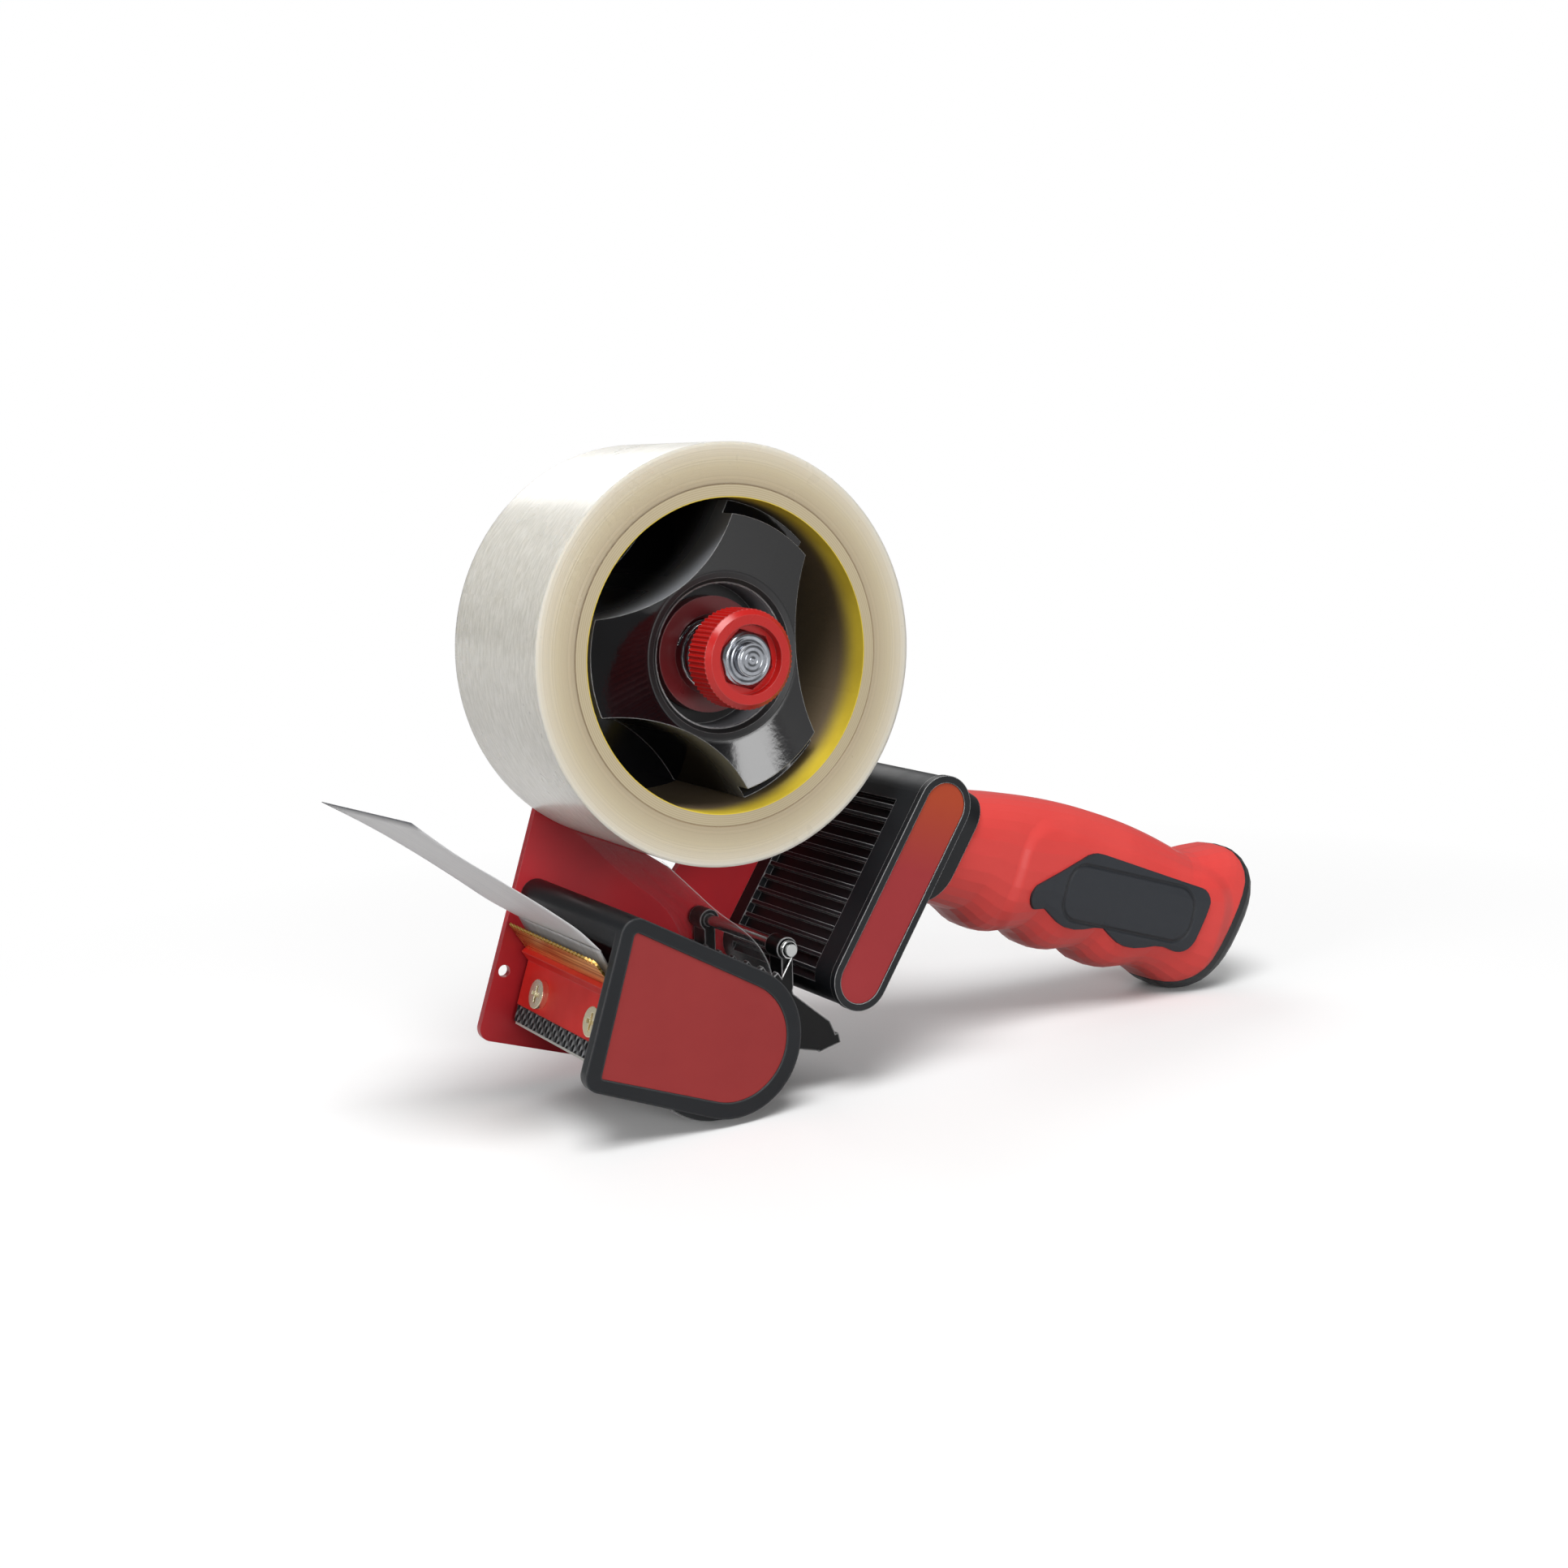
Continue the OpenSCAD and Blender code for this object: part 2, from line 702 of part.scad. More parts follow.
module rear_side_panel() {
    color("#c0504a")
    on_grip() across(cheek_out + recess_d - panel_t, cheek_out + recess_d)
        stadium(rear_r - 1.9 - seat);
}

// Upper line of the grip along u: a rising arch, then the swell of the butt and its crown
function grip_top(u) =
    let (t = u - neck_len, arch = rear_half + 11.4 + 0.493 * t - 0.003 * t * t,
         s = min(1, max(0, (u - swell_u) / (crown_at[0] - swell_u))), blend = s * s * (3 - 2 * s))
    u > crown_at[0]
        ? crown_at[1] + sqrt(max(0, crown_r * crown_r - pow(u - crown_at[0], 2)))
        : arch + (crown_at[1] + crown_r - arch) * blend;

// Lower line of the grip: three finger grooves, then the round heel
function grip_low(u) =
    let (line = rear_half - 20.9 + 0.19 * (u - neck_len),
         in_waves = u > wave_u && u < swell_u,
         wave = in_waves ? groove_d * pow(abs(sin(180 * (u - wave_u) / wave_len)), 1.2) : 0,
         s = min(1, max(0, (u - swell_u) / (heel_at[0] - swell_u))), blend = s * s * (3 - 2 * s))
    u > heel_at[0]
        ? heel_at[1] - sqrt(max(0, heel_r * heel_r - pow(u - heel_at[0], 2)))
        : line - wave + (heel_at[1] - heel_r - line) * blend;

// Half width of the grip, rounding in at the end
function grip_half(u) =
    let (e = max(0, u - (grip_end - edge_r)))
    grip_w / 2 - 1.2 * pow(sin(180 * (u - neck_len) / grip_len), 2)
        - edge_r + sqrt(max(0, edge_r * edge_r - e * e));

// Stations along the grip: closer together round the butt
stations = concat(
    [for (i = [0:30]) neck_len + (heel_at[0] - neck_len) * i / 30],
    [for (i = [1:9]) heel_at[0] + (grip_end - heel_at[0]) * sin(90 * i / 9.3)]
);
around = 16;

// One half section as points [u, y, v]; side is -1 for the near half, grow swells it outward
function half_section(u, side, grow) =
    let (top = grip_top(u) + grow, low = grip_low(u) - grow, mid = (top + low) / 2,
         high = (top - low) / 2, wide = max(0.4, grip_half(u) + grow))
    [for (i = [0:around])
        let (a = -90 + 180 * i / around, c = cos(a), s = sin(a))
        [u, side * wide * pow(abs(c), 0.7), mid + high * sign(s) * pow(abs(s), 0.8)]];

// Half of the grip between its sections, closed on the middle plane
module half_loft(side, grow) {
    rows = [for (u = stations) half_section(u, side, grow)];
    n = around + 1;
    last = len(rows) - 1;
    points = [for (row = rows) for (p = row) p];
    skin = [for (i = [0:last - 1], j = [0:n - 1])
        let (k = (j + 1) % n, a = i * n + j, b = i * n + k, c = a + n, d = b + n)
        for (f = side < 0 ? [[a, b, d], [a, d, c]] : [[b, a, d], [d, a, c]]) f];
    cap0 = [for (j = [0:n - 1]) side < 0 ? n - 1 - j : j];
    cap1 = [for (j = [0:n - 1]) last * n + (side < 0 ? j : n - 1 - j)];
    polyhedron(points = points, faces = concat(skin, [cap0, cap1]), convexity = 6);
}

// Side view of the rubber cap: the end outline less the same outline moved forward
module cap_outline() {
    difference() {
        translate([neck_len, -20]) square([grip_len + 10, 160]);
        rounded([
            [heel_at[0] - cap_t, heel_at[1], heel_r],
            [crown_at[0] - cap_t, crown_at[1], crown_r],
            [neck_len, crown_at[1] + crown_r, 1],
            [neck_len, heel_at[1] - 40, 1],
        ]);
        translate([neck_len - 1, -30]) square([heel_at[0] - cap_t - neck_len + 1, 200]);
    }
}

// Side view of a grip pad: its lower edge keeps the rhythm of the finger grooves
module pad_outline() {
    from = neck_len + 27.8;
    to = grip_end - 17.7;
    lift = 8.5;
    polygon(concat(
        [for (i = [0:16]) let (u = from + 4 + (to - from - 9.5) * i / 16) [u, grip_low(u) + lift]],
        arc([to - 5.5, grip_low(to - 5.5) + lift + 5.5], 5.5, -75, 0, 5),
        arc([to - 4.5, rear_half + 19.6], 4, 0, 100, 5),
        arc([from + 20, rear_half + 6.3], 10, 100, 145, 4),
        arc([from + 4, grip_low(from + 4) + lift + 4], 4, 150, 260, 5)
    ));
}

module grip_shell(side) {
    on_grip() difference() {
        half_loft(side, 0);
        across(-grip_w, grip_w) cap_outline();
        across(-tang_w / 2 - seat, tang_w / 2 + seat) tang_outline(seat);
        for (p = grip_screw_places) rod(p, 2 + seat, -grip_screw_len / 2, grip_screw_len / 2);
    }
}

module grip_shell_near() {
    color("#ea5a52") grip_shell(-1);
}

module grip_shell_far() {
    color("#ea5a52") grip_shell(1);
}

module grip_pad(side) {
    color("#3d4044")
    on_grip() difference() {
        intersection() {
            half_loft(side, pad_proud);
            across(side < 0 ? -grip_w : 3, side < 0 ? -3 : grip_w) pad_outline();
        }
        half_loft(side, seat);
    }
}

module grip_pad_near() {
    grip_pad(-1);
}

module grip_pad_far() {
    grip_pad(1);
}

module butt_cap() {
    color("#26282b")
    on_grip() intersection() {
        union() {
            half_loft(-1, 0);
            half_loft(1, 0);
        }
        across(-grip_w, grip_w) cap_outline();
    }
}

grip_screw_places = [
    [neck_len + 42, rear_half + 5.6],
    [grip_end - 34, rear_half + 13],
];

module grip_screws() {
    color("silver")
    on_grip() for (p = grip_screw_places) rod(p, 2, -grip_screw_len / 2, grip_screw_len / 2);
}

// ---------- hub, tape and tension stack ----------

// Side view of the three-lobed hub, drawn in by a margin
module lobes(margin) {
    difference() {
        circle(lobe_r - margin);
        for (i = [0:2]) rotate(lobe_turn + 60 + 120 * i)
            translate([waist_r + gap_r, 0]) circle(gap_r + margin);
    }
}

module hub_stud() {
    color("silver") {
        rod([0, 0], stud_d / 2, -stud_end, stud_end);
        ring([0, 0], stud_d / 2 + 4, stud_d / 2 - 0.1, flange_back + 0.1, plate_in);
    }
}

module hex_nut(y0, y1, af) {
    difference() {
        translate([0, y1, 0]) rotate([90, 0, 0]) cylinder(r = af / sqrt(3), h = y1 - y0, $fn = 6);
        rod([0, 0], stud_d / 2 + seat, y0 - 1, y1 + 1);
    }
}

module stud_nut() {
    color("silver") hex_nut(plate_out, plate_out + 5, nut_af);
}

// Depth and radius of the rolled edge at each third of its quarter turn
function roll_depth(i) = roll_r_in * (1 - cos(30 * i));
function roll_radius(i) = drum_in + roll_r_in * (1 - sin(30 * i));

module hub() {
    boss_r = stud_d / 2 + 4;
    color("#1d1f22")
    difference() {
        union() {
            // Dished face of the three lobes, rolled over into the drum round the brake
            intersection() {
                across(hub_front, rim_back + 1.8) lobes(0);
                rod([0, 0], lobe_r - lobe_step, hub_front - 1, rim_back + 2);
                translate([0, hub_front, 0]) rotate([-90, 0, 0])
                    cylinder(r1 = waist_r, r2 = 2 * lobe_r - waist_r, h = 2 * face_fall);
            }
            // Wall behind the rim, down to the step that the core's bore starts from
            across(rim_back, step_back) difference() {
                intersection() {
                    lobes(0);
                    circle(lobe_r - lobe_step);
                }
                lobes(lobe_step + lobe_t);
            }
            across(step_back - 0.1, step_back + 1.8) lobes(0);
            ring([0, 0], waist_r, drum_in, hub_front, drum_floor + 2.5);
            rod([0, 0], waist_r, drum_floor, drum_floor + 2.5);
            rod([0, 0], boss_r, drum_floor, flange_back);
            // Walls of the lobes, which fill the core and close the gaps between them
            across(step_back, flange_back) difference() {
                lobes(0);
                lobes(lobe_t);
            }
            // Back flange, a stop for the core
            rod([0, 0], core_r + 2, hub_back, flange_back);
            // Ribs from the boss to the lobes
            for (i = [0:2]) rotate([0, -lobe_turn - 120 * i, 0])
                translate([boss_r - 1, drum_floor, -1.2])
                    cube([lobe_r - boss_r - 1, flange_back - drum_floor - 0.5, 2.4]);
        }
        rod([0, 0], drum_in, hub_front - 1, drum_floor);
        rod([0, 0], stud_d / 2 + run_gap, hub_front - 1, flange_back + 1);
        // Rolled inner edge of the face, as three cones
        for (i = [0:2]) translate([0, hub_front - 0.01 + roll_depth(i), 0]) rotate([-90, 0, 0])
            cylinder(r1 = roll_radius(i), r2 = roll_radius(i + 1), h = roll_depth(i + 1) - roll_depth(i));
    }
}

module tape_core() {
    color("#d9cf9a") ring([0, 0], core_r, core_bore / 2, near_y, far_y);
}

module tape_roll() {
    color("#e9e2d2") ring([0, 0], roll_r, core_r, near_y, far_y);
}

// Outer tangent from a point to the tape round the roller; side +1 takes the upper one
function touch_angle(p, side) =
    let (d = p - roller_at) atan2(d[1], d[0]) - side * acos(wrap_r / norm(d));

// A strip of film between two side-view points, thickened to the left of travel
module strip(a, b) {
    n = [a[1] - b[1], b[0] - a[0]] / norm(b - a);
    polygon([a, b, b + film_t * n, a + film_t * n]);
}

module tape_web() {
    on_angle = touch_angle(peel_at, 1);
    off_angle = touch_angle(over_at, -1);
    lap = 1;
    color("#cfd2d0")
    across(near_y, far_y) {
        strip(peel_at, roller_at + wrap_r * unit(on_angle));
        difference() {
            translate(roller_at) circle(wrap_r + film_t);
            translate(roller_at) circle(wrap_r);
            wedge(roller_at, on_angle + lap, off_angle - lap, 60);
        }
        strip(roller_at + wrap_r * unit(off_angle), over_at);
        strip(over_at, tip_at);
        translate(over_at) circle(film_t, $fn = 16);
    }
}

// The open side of the roller that the tape doesn't wrap
module wedge(p, a0, a1, r) {
    polygon(concat([p], arc(p, r, a0, a1, 6)));
}

module tape_tail() {
    color("#cfd2d0")
    across(near_y, far_y) strip(tip_at + 0.02 * tail_dir, tail_at);
}

module brake_felt() {
    color("gray") ring([0, 0], cup_d / 2 - 1.5, stud_d / 2 + 0.6, felt_y - felt_t, felt_y);
}

module pressure_cup() {
    color("#a3302e")
    difference() {
        rod([0, 0], cup_d / 2, cup_front, cup_back);
        rod([0, 0], washer_r + 0.4, cup_front - 1, cup_floor);
        rod([0, 0], stud_d / 2 + seat, cup_front - 1, cup_back + 1);
    }
}

// Compression spring round the stud, drawn as a swept wire
module brake_spring() {
    turns = 3.5;
    per_turn = 20;
    sides = 6;
    steps = turns * per_turn;
    travel = spring_len - spring_wire;
    points = [for (i = [0:steps], j = [0:sides - 1])
        let (a = 360 * i / per_turn, b = 360 * j / sides,
             r = spring_r + spring_wire / 2 * cos(b),
             y = washer_back + spring_wire / 2 + travel * i / steps + spring_wire / 2 * sin(b))
        [r * cos(a), y, r * sin(a)]];
    skin = [for (i = [0:steps - 1], j = [0:sides - 1])
        let (k = (j + 1) % sides, p = i * sides + j, q = i * sides + k)
        for (f = [[p, q, q + sides], [p, q + sides, p + sides]]) f];
    ends = [[for (j = [0:sides - 1]) sides - 1 - j], [for (j = [0:sides - 1]) steps * sides + j]];
    color("silver") polyhedron(points = points, faces = concat(skin, ends), convexity = 8);
}

module spring_washer() {
    color("gainsboro")
    ring([0, 0], washer_r, stud_d / 2 + run_gap, washer_front, washer_back);
}

module tension_knob() {
    color("#e2362f")
    difference() {
        union() {
            across(knob_front + 1.2, knob_back) polygon([
                for (i = [0:2 * flutes - 1]) (knob_d / 2 - flute_h * (i % 2)) * unit(180 * i / flutes)
            ]);
            // Smooth rolled rim at the front, a little below the flutes
            translate([0, knob_front + 1.3, 0]) rotate([90, 0, 0])
                cylinder(r1 = knob_d / 2 - flute_h / 3, r2 = knob_d / 2 - 1.4, h = 1.3);
        }
        rod([0, 0], stud_d / 2 + run_gap, knob_front - 1, knob_back + 1);
        rod([0, 0], 8.4, knob_front - 1, knob_front + 2.4);
        translate([0, nut_back + seat, 0]) rotate([90, 0, 0])
            cylinder(r = (nut_af + 2 * seat) / sqrt(3), h = knob_len, $fn = 6);
    }
}

module lock_nut() {
    color("gainsboro")
    difference() {
        // Hexagon whose front corners are turned off to a cone
        intersection() {
            hex_nut(nut_front, nut_back, nut_af);
            translate([0, nut_front, 0]) rotate([-90, 0, 0])
                cylinder(r1 = nut_af / 2 - 0.5, r2 = nut_af / 2 - 0.5 + 1.2 * nut_len, h = nut_len);
        }
        rod([0, 0], stud_d / 2 + run_gap, nut_front - 1, nut_back + 1);
    }
}

// ---------- the tool, one line for each piece ----------

stand() frame_plate();
stand() plate_screws();
stand() head_housing();
stand() head_side_panel();
stand() blade_bracket();
stand() bracket_screws();
stand() blade();
stand() blade_rivets();
stand() wiper_strip();
stand() wiper_backing();
stand() roller_sleeve();
stand() roller_core();
stand() roller_axle();
stand() roller_spacers();
stand() axle_screws();
stand() retainer_flap();
stand() flap_pin();
stand() flap_spring();
stand() rear_housing();
stand() rear_side_panel();
stand() grip_shell_near();
stand() grip_shell_far();
stand() grip_pad_near();
stand() grip_pad_far();
stand() butt_cap();
stand() grip_screws();
stand() hub_stud();
stand() stud_nut();
stand() hub();
stand() tape_core();
stand() tape_roll();
stand() tape_web();
stand() tape_tail();
stand() brake_felt();
stand() pressure_cup();
stand() brake_spring();
stand() spring_washer();
stand() tension_knob();
stand() lock_nut();
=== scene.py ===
import json
import math
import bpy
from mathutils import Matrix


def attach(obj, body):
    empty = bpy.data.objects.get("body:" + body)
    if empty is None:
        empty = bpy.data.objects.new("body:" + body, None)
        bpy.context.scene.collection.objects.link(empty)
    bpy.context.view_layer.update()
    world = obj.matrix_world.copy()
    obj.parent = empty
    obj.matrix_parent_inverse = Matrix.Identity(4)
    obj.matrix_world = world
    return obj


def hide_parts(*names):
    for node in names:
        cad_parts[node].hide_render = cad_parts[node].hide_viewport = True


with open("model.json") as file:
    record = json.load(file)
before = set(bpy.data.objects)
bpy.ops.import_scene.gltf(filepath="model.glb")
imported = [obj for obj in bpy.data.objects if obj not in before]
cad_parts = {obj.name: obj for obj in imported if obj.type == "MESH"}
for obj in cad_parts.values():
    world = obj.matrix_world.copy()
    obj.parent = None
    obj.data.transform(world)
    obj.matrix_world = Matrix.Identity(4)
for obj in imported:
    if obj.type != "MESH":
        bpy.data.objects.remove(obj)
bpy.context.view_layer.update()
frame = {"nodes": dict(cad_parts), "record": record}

from types import SimpleNamespace

import bpy
import numpy as np
from mathutils import Matrix, Vector

# ---------------------------------------------------------------------------------------------
# Camera: a standing eye at arm's length, ahead of the open side and looking a little down. It
# is placed from the hub's axis, and the tool's tilt on its roller and heel is found from the
# line between the hub's and the roller's axes.
# ---------------------------------------------------------------------------------------------
joints = {joint["name"]: joint for joint in frame["record"]["behaviour"]["joints"]}
hub = np.array(joints["hub_spin"]["pos_m"])
roller = np.array(joints["roller_spin"]["pos_m"])
# The roller's axis from the hub's in mm, square to the frame plate: behind it and below it.
roller_x = 22.5
roller_z = -91.5
tilt = math.atan2(hub[0] - roller[0], hub[2] - roller[2]) + math.atan2(roller_x, -roller_z)

eye_data = bpy.data.cameras.new("eye")
eye = bpy.data.objects.new("eye", eye_data)
bpy.context.scene.collection.objects.link(eye)
bpy.context.scene.camera = eye
eye_data.lens = 46.77
eye_data.sensor_width = 36.0
# The eye is fixed to the tool. These values are for a plate that leans by first_tilt, and the
# eye is turned about the hub by what the plate leans beyond that.
first_tilt = math.radians(16.5)
eye_x = -0.24173
eye_y = -0.44918
eye_z = 0.04047
eye_heading = math.radians(-31.117)
eye_dip = math.radians(8.298)
eye_lean = tilt - first_tilt
eye_place = Matrix.Rotation(eye_lean, 3, "Y") @ Vector((eye_x, 0, eye_z))
eye.matrix_world = (
    Matrix.Translation((hub[0] + eye_place[0], eye_y, hub[2] + eye_place[2]))
    @ Matrix.Rotation(eye_lean, 4, "Y")
    @ Matrix.Rotation(eye_heading, 4, "Z")
    @ Matrix.Rotation(math.radians(90) - eye_dip, 4, "X")
)

# ---------------------------------------------------------------------------------------------
# Studio: a white table in a room that looks white. A large soft lamp hangs overhead on the
# left, a smaller one stands in front beside the camera, a weak one stands on the left, and the
# fourth lights the back.
# ---------------------------------------------------------------------------------------------


def linear(hex_colour):
    """An sRGB hex colour as linear red, green, blue and alpha: the sRGB curve undone."""
    parts = [int(hex_colour[i:i + 2], 16) / 255 for i in (1, 3, 5)]
    return [p / 12.92 if p <= 0.04045 else ((p + 0.055) / 1.055) ** 2.4 for p in parts] + [1.0]


def add(tree, kind, inputs=None, **settings):
    """Adds one node. settings are the node's own, and inputs gives a socket, by its name or
    number, a value, or a link where the value is another node's output."""
    made = tree.nodes.new(kind)
    for name, value in settings.items():
        setattr(made, name, value)
    for socket, value in (inputs or {}).items():
        if isinstance(value, bpy.types.NodeSocket):
            tree.links.new(value, made.inputs[socket])
        else:
            made.inputs[socket].default_value = value
    return made


def maths(tree, operation, *values):
    """The output of a maths node: operation on values, each a number or a node's output."""
    return add(tree, "ShaderNodeMath", dict(enumerate(values)), operation=operation).outputs[0]


def vector_maths(tree, operation, *values, output="Vector"):
    """The same for vectors. With output="Value" it gives a number, such as a length."""
    return add(tree, "ShaderNodeVectorMath", dict(enumerate(values)),
               operation=operation).outputs[output]


def ramp(tree, value, start, end, low=0.0, high=1.0, smooth=False):
    """An output that goes from low to high as value goes from start to end, and is level
    beyond them. It eases in and out if smooth is true."""
    easing = "SMOOTHSTEP" if smooth else "LINEAR"
    return add(tree, "ShaderNodeMapRange",
               {"Value": value, "From Min": start, "From Max": end, "To Min": low,
                "To Max": high}, interpolation_type=easing).outputs[0]


def new_material(name):
    """An empty material of that name, as (material, its node tree)."""
    material = bpy.data.materials.new(name)
    material.use_nodes = True
    material.node_tree.nodes.clear()
    return material, material.node_tree


# The table is white paper within 0.12 m of its middle, where the tool's shadow falls, and pure
# white beyond 0.34 m. What it throws back up at the tool is as weak as from a pale grey table.
table_material, tree = new_material("white_paper_sweep")
place = add(tree, "ShaderNodeTexCoord").outputs["Object"]
far = vector_maths(tree, "LENGTH", place, output="Value")
paper = add(tree, "ShaderNodeBsdfDiffuse", {"Color": linear("#FAFAFA")})
dim_paper = add(tree, "ShaderNodeBsdfDiffuse", {"Color": linear("#6E6C6B")})
glow = add(tree, "ShaderNodeEmission", {"Strength": 1.0})
sweep = add(tree, "ShaderNodeMixShader",
            {0: ramp(tree, far, 0.12, 0.34), 1: paper.outputs[0], 2: glow.outputs[0]})
rays = add(tree, "ShaderNodeLightPath").outputs
seen = maths(tree, "MAXIMUM", rays["Is Camera Ray"], rays["Is Glossy Ray"])
either = add(tree, "ShaderNodeMixShader",
             {0: seen, 1: dim_paper.outputs[0], 2: sweep.outputs[0]})
add(tree, "ShaderNodeOutputMaterial", {"Surface": either.outputs[0]})

half_table = 6.0
table_mesh = bpy.data.meshes.new("table")
table_mesh.from_pydata([(-half_table, -half_table, 0), (half_table, -half_table, 0),
                        (half_table, half_table, 0), (-half_table, half_table, 0)],
                       [], [(0, 1, 2, 3)])
table_mesh.materials.append(table_material)
table = bpy.data.objects.new("table", table_mesh)
bpy.context.scene.collection.objects.link(table)

# The room looks white, straight or through the film, but lights the tool only dimly.
room = bpy.data.worlds.new("white_room")
bpy.context.scene.world = room
room.use_nodes = True
tree = room.node_tree
tree.nodes.clear()
rays = add(tree, "ShaderNodeLightPath").outputs
seen = maths(tree, "MAXIMUM", rays["Is Camera Ray"], rays["Is Transmission Ray"])
dim = add(tree, "ShaderNodeBackground", {"Color": (1, 1, 1, 1), "Strength": 0.22})
white = add(tree, "ShaderNodeBackground", {"Color": (1, 1, 1, 1), "Strength": 1.0})
both = add(tree, "ShaderNodeMixShader", {0: seen, 1: dim.outputs[0], 2: white.outputs[0]})
add(tree, "ShaderNodeOutputWorld", {"Surface": both.outputs[0]})


def soft_lamp(name, where, aim, width, height, power):
    """An area lamp of that width and height in metres and power in watts, at where and facing
    aim."""
    data = bpy.data.lights.new(name, "AREA")
    data.shape = "RECTANGLE"
    data.size = width
    data.size_y = height
    data.energy = power
    lamp = bpy.data.objects.new(name, data)
    bpy.context.scene.collection.objects.link(lamp)
    lamp.location = where
    lamp.rotation_euler = (Vector(aim) - Vector(where)).to_track_quat("-Z", "Y").to_euler()


soft_lamp("overhead_softbox", (-0.4, -0.6, 1.45), (0, 0, 0.07), 0.8, 0.8, power=19)
soft_lamp("front_softbox", (-0.14, -1.38, 0.3), (0, 0, 0.09), 0.66, 0.36, power=8)
soft_lamp("left_softbox", (-1.3, -0.3, 0.5), (0, 0, 0.08), 0.5, 0.5, power=4)
soft_lamp("back_softbox", (0.3, 1.1, 0.9), (0, 0, 0.07), 0.8, 0.8, power=5)

bpy.context.scene.view_settings.view_transform = "Standard"

# ---------------------------------------------------------------------------------------------
# Frame plate and blade bracket: mild steel sheet, stamped, bent and powder-coated deep red.
# The coat flows out to a faint orange peel with a soft gloss, and thins a little at the edges.
# ---------------------------------------------------------------------------------------------
mm = 0.001


def dress(node, material):
    """Gives every material slot of one CAD node that material."""
    for slot in frame["nodes"][node].material_slots:
        slot.material = material


def blend(tree, share, first, second, mode="MIX"):
    """A colour output: first where share is 0, and second where it is 1."""
    return add(tree, "ShaderNodeMix", {0: share, 6: first, 7: second}, data_type="RGBA",
               blend_type=mode).outputs[2]


def moulded(name, colour, other, roughness, grain_mm, depth_mm, mottle_mm=16.0, edge_mm=0.35,
            edge_wear_and_highlight=0.0, metallic=0.0, specular=0.5, coat=0.0):
    """A surface whose colour wanders from colour to other over mottle_mm, whose grain is noise
    of grain_mm raised by depth_mm, and whose edges look rounded by edge_mm and are paler by a
    given share: wear on some materials, a painted edge highlight on others. Its pattern space
    is millimetres square to the frame plate, from the hub's axis: Object coordinates times
    1000, turned back by tilt, less the hub's place."""
    material, tree = new_material(name)
    first = linear(colour)
    second = linear(other)
    origin = Matrix.Rotation(-tilt, 3, "Y") @ Vector(-hub / mm)
    place = add(tree, "ShaderNodeMapping",
                {"Vector": add(tree, "ShaderNodeTexCoord").outputs["Object"],
                 "Location": origin, "Rotation": (0, -tilt, 0),
                 "Scale": (1 / mm, 1 / mm, 1 / mm)}).outputs["Vector"]
    grain = add(tree, "ShaderNodeTexNoise",
                {"Vector": place, "Scale": 1 / grain_mm, "Detail": 2.0, "Roughness": 0.55})
    mottle = add(tree, "ShaderNodeTexNoise",
                 {"Vector": place, "Scale": 1 / mottle_mm, "Detail": 3.0,
                  "Roughness": 0.6}).outputs["Fac"]
    plain = blend(tree, ramp(tree, mottle, 0.3, 0.7), first, second)
    gloss = ramp(tree, mottle, 0.3, 0.7, roughness * 0.86, roughness * 1.14)
    edge = add(tree, "ShaderNodeBevel", {"Radius": edge_mm * mm}, samples=4).outputs["Normal"]
    normal = add(tree, "ShaderNodeBump",
                 {"Height": grain.outputs["Fac"], "Strength": 1.0, "Distance": depth_mm * mm,
                  "Normal": edge}).outputs["Normal"]
    wear_and_highlight_colour = plain
    if edge_wear_and_highlight:
        true_normal = add(tree, "ShaderNodeNewGeometry").outputs["True Normal"]
        flat = vector_maths(tree, "DOT_PRODUCT", edge, true_normal, output="Value")
        wear_and_highlight_colour = blend(tree, ramp(tree, flat, 0.99, 0.86, 0.0, edge_wear_and_highlight), plain, linear("#E1E1E2"))
    surface = add(tree, "ShaderNodeBsdfPrincipled",
                  {"Base Color": wear_and_highlight_colour, "Roughness": gloss, "Normal": normal,
                   "Metallic": metallic, "Specular IOR Level": specular, "Coat Weight": coat,
                   "Coat Roughness": 0.12})
    add(tree, "ShaderNodeOutputMaterial", {"Surface": surface.outputs[0]})
    return SimpleNamespace(material=material, tree=tree, place=place, grain=grain, first=first,
                           second=second, plain=plain, wear_and_highlight_colour=wear_and_highlight_colour, gloss=gloss,
                           normal=normal, surface=surface)


plate_coat = moulded("red_powder_coated_steel", "#CC2A32", "#B4262F", 0.36, 0.9, 0.012,
                     mottle_mm=40, edge_wear_and_highlight=0.12, specular=0.35, coat=0.08)
dress("frame_plate", plate_coat.material)
# The bracket has the plate's coat, drawn brighter: painted light in the head's shadow.
bracket_coat = moulded("red_powder_coat_painted_brighter", "#E8302A", "#D82C28", 0.42, 0.9, 0.012,
                       edge_wear_and_highlight=0.15, specular=0.25)
dress("blade_bracket", bracket_coat.material)

# ---------------------------------------------------------------------------------------------
# Head: a black glass-filled nylon moulding that closes the near side with a round-cornered
# cheek and crosses to the plate with two bars. Spark-eroded grain, with a painted edge sheen.
# ---------------------------------------------------------------------------------------------
head_nylon = moulded("black_glass_filled_nylon", "#0F1216", "#14171B", 0.36, 0.45, 0.012,
                     edge_mm=0.8, edge_wear_and_highlight=0.1, specular=0.27)
dress("head_housing", head_nylon.material)

# ---------------------------------------------------------------------------------------------
# Side panels of the head and the rear housing: 0.6 mm inlays, moulded with a fine satin grain
# and glued into their recesses. The orange of the rear one's upper end is a painted reflection.
# ---------------------------------------------------------------------------------------------


def refit(made, socket, value):
    """Feeds one input of a material's surface from another output."""
    made.tree.links.new(value, made.surface.inputs[socket])


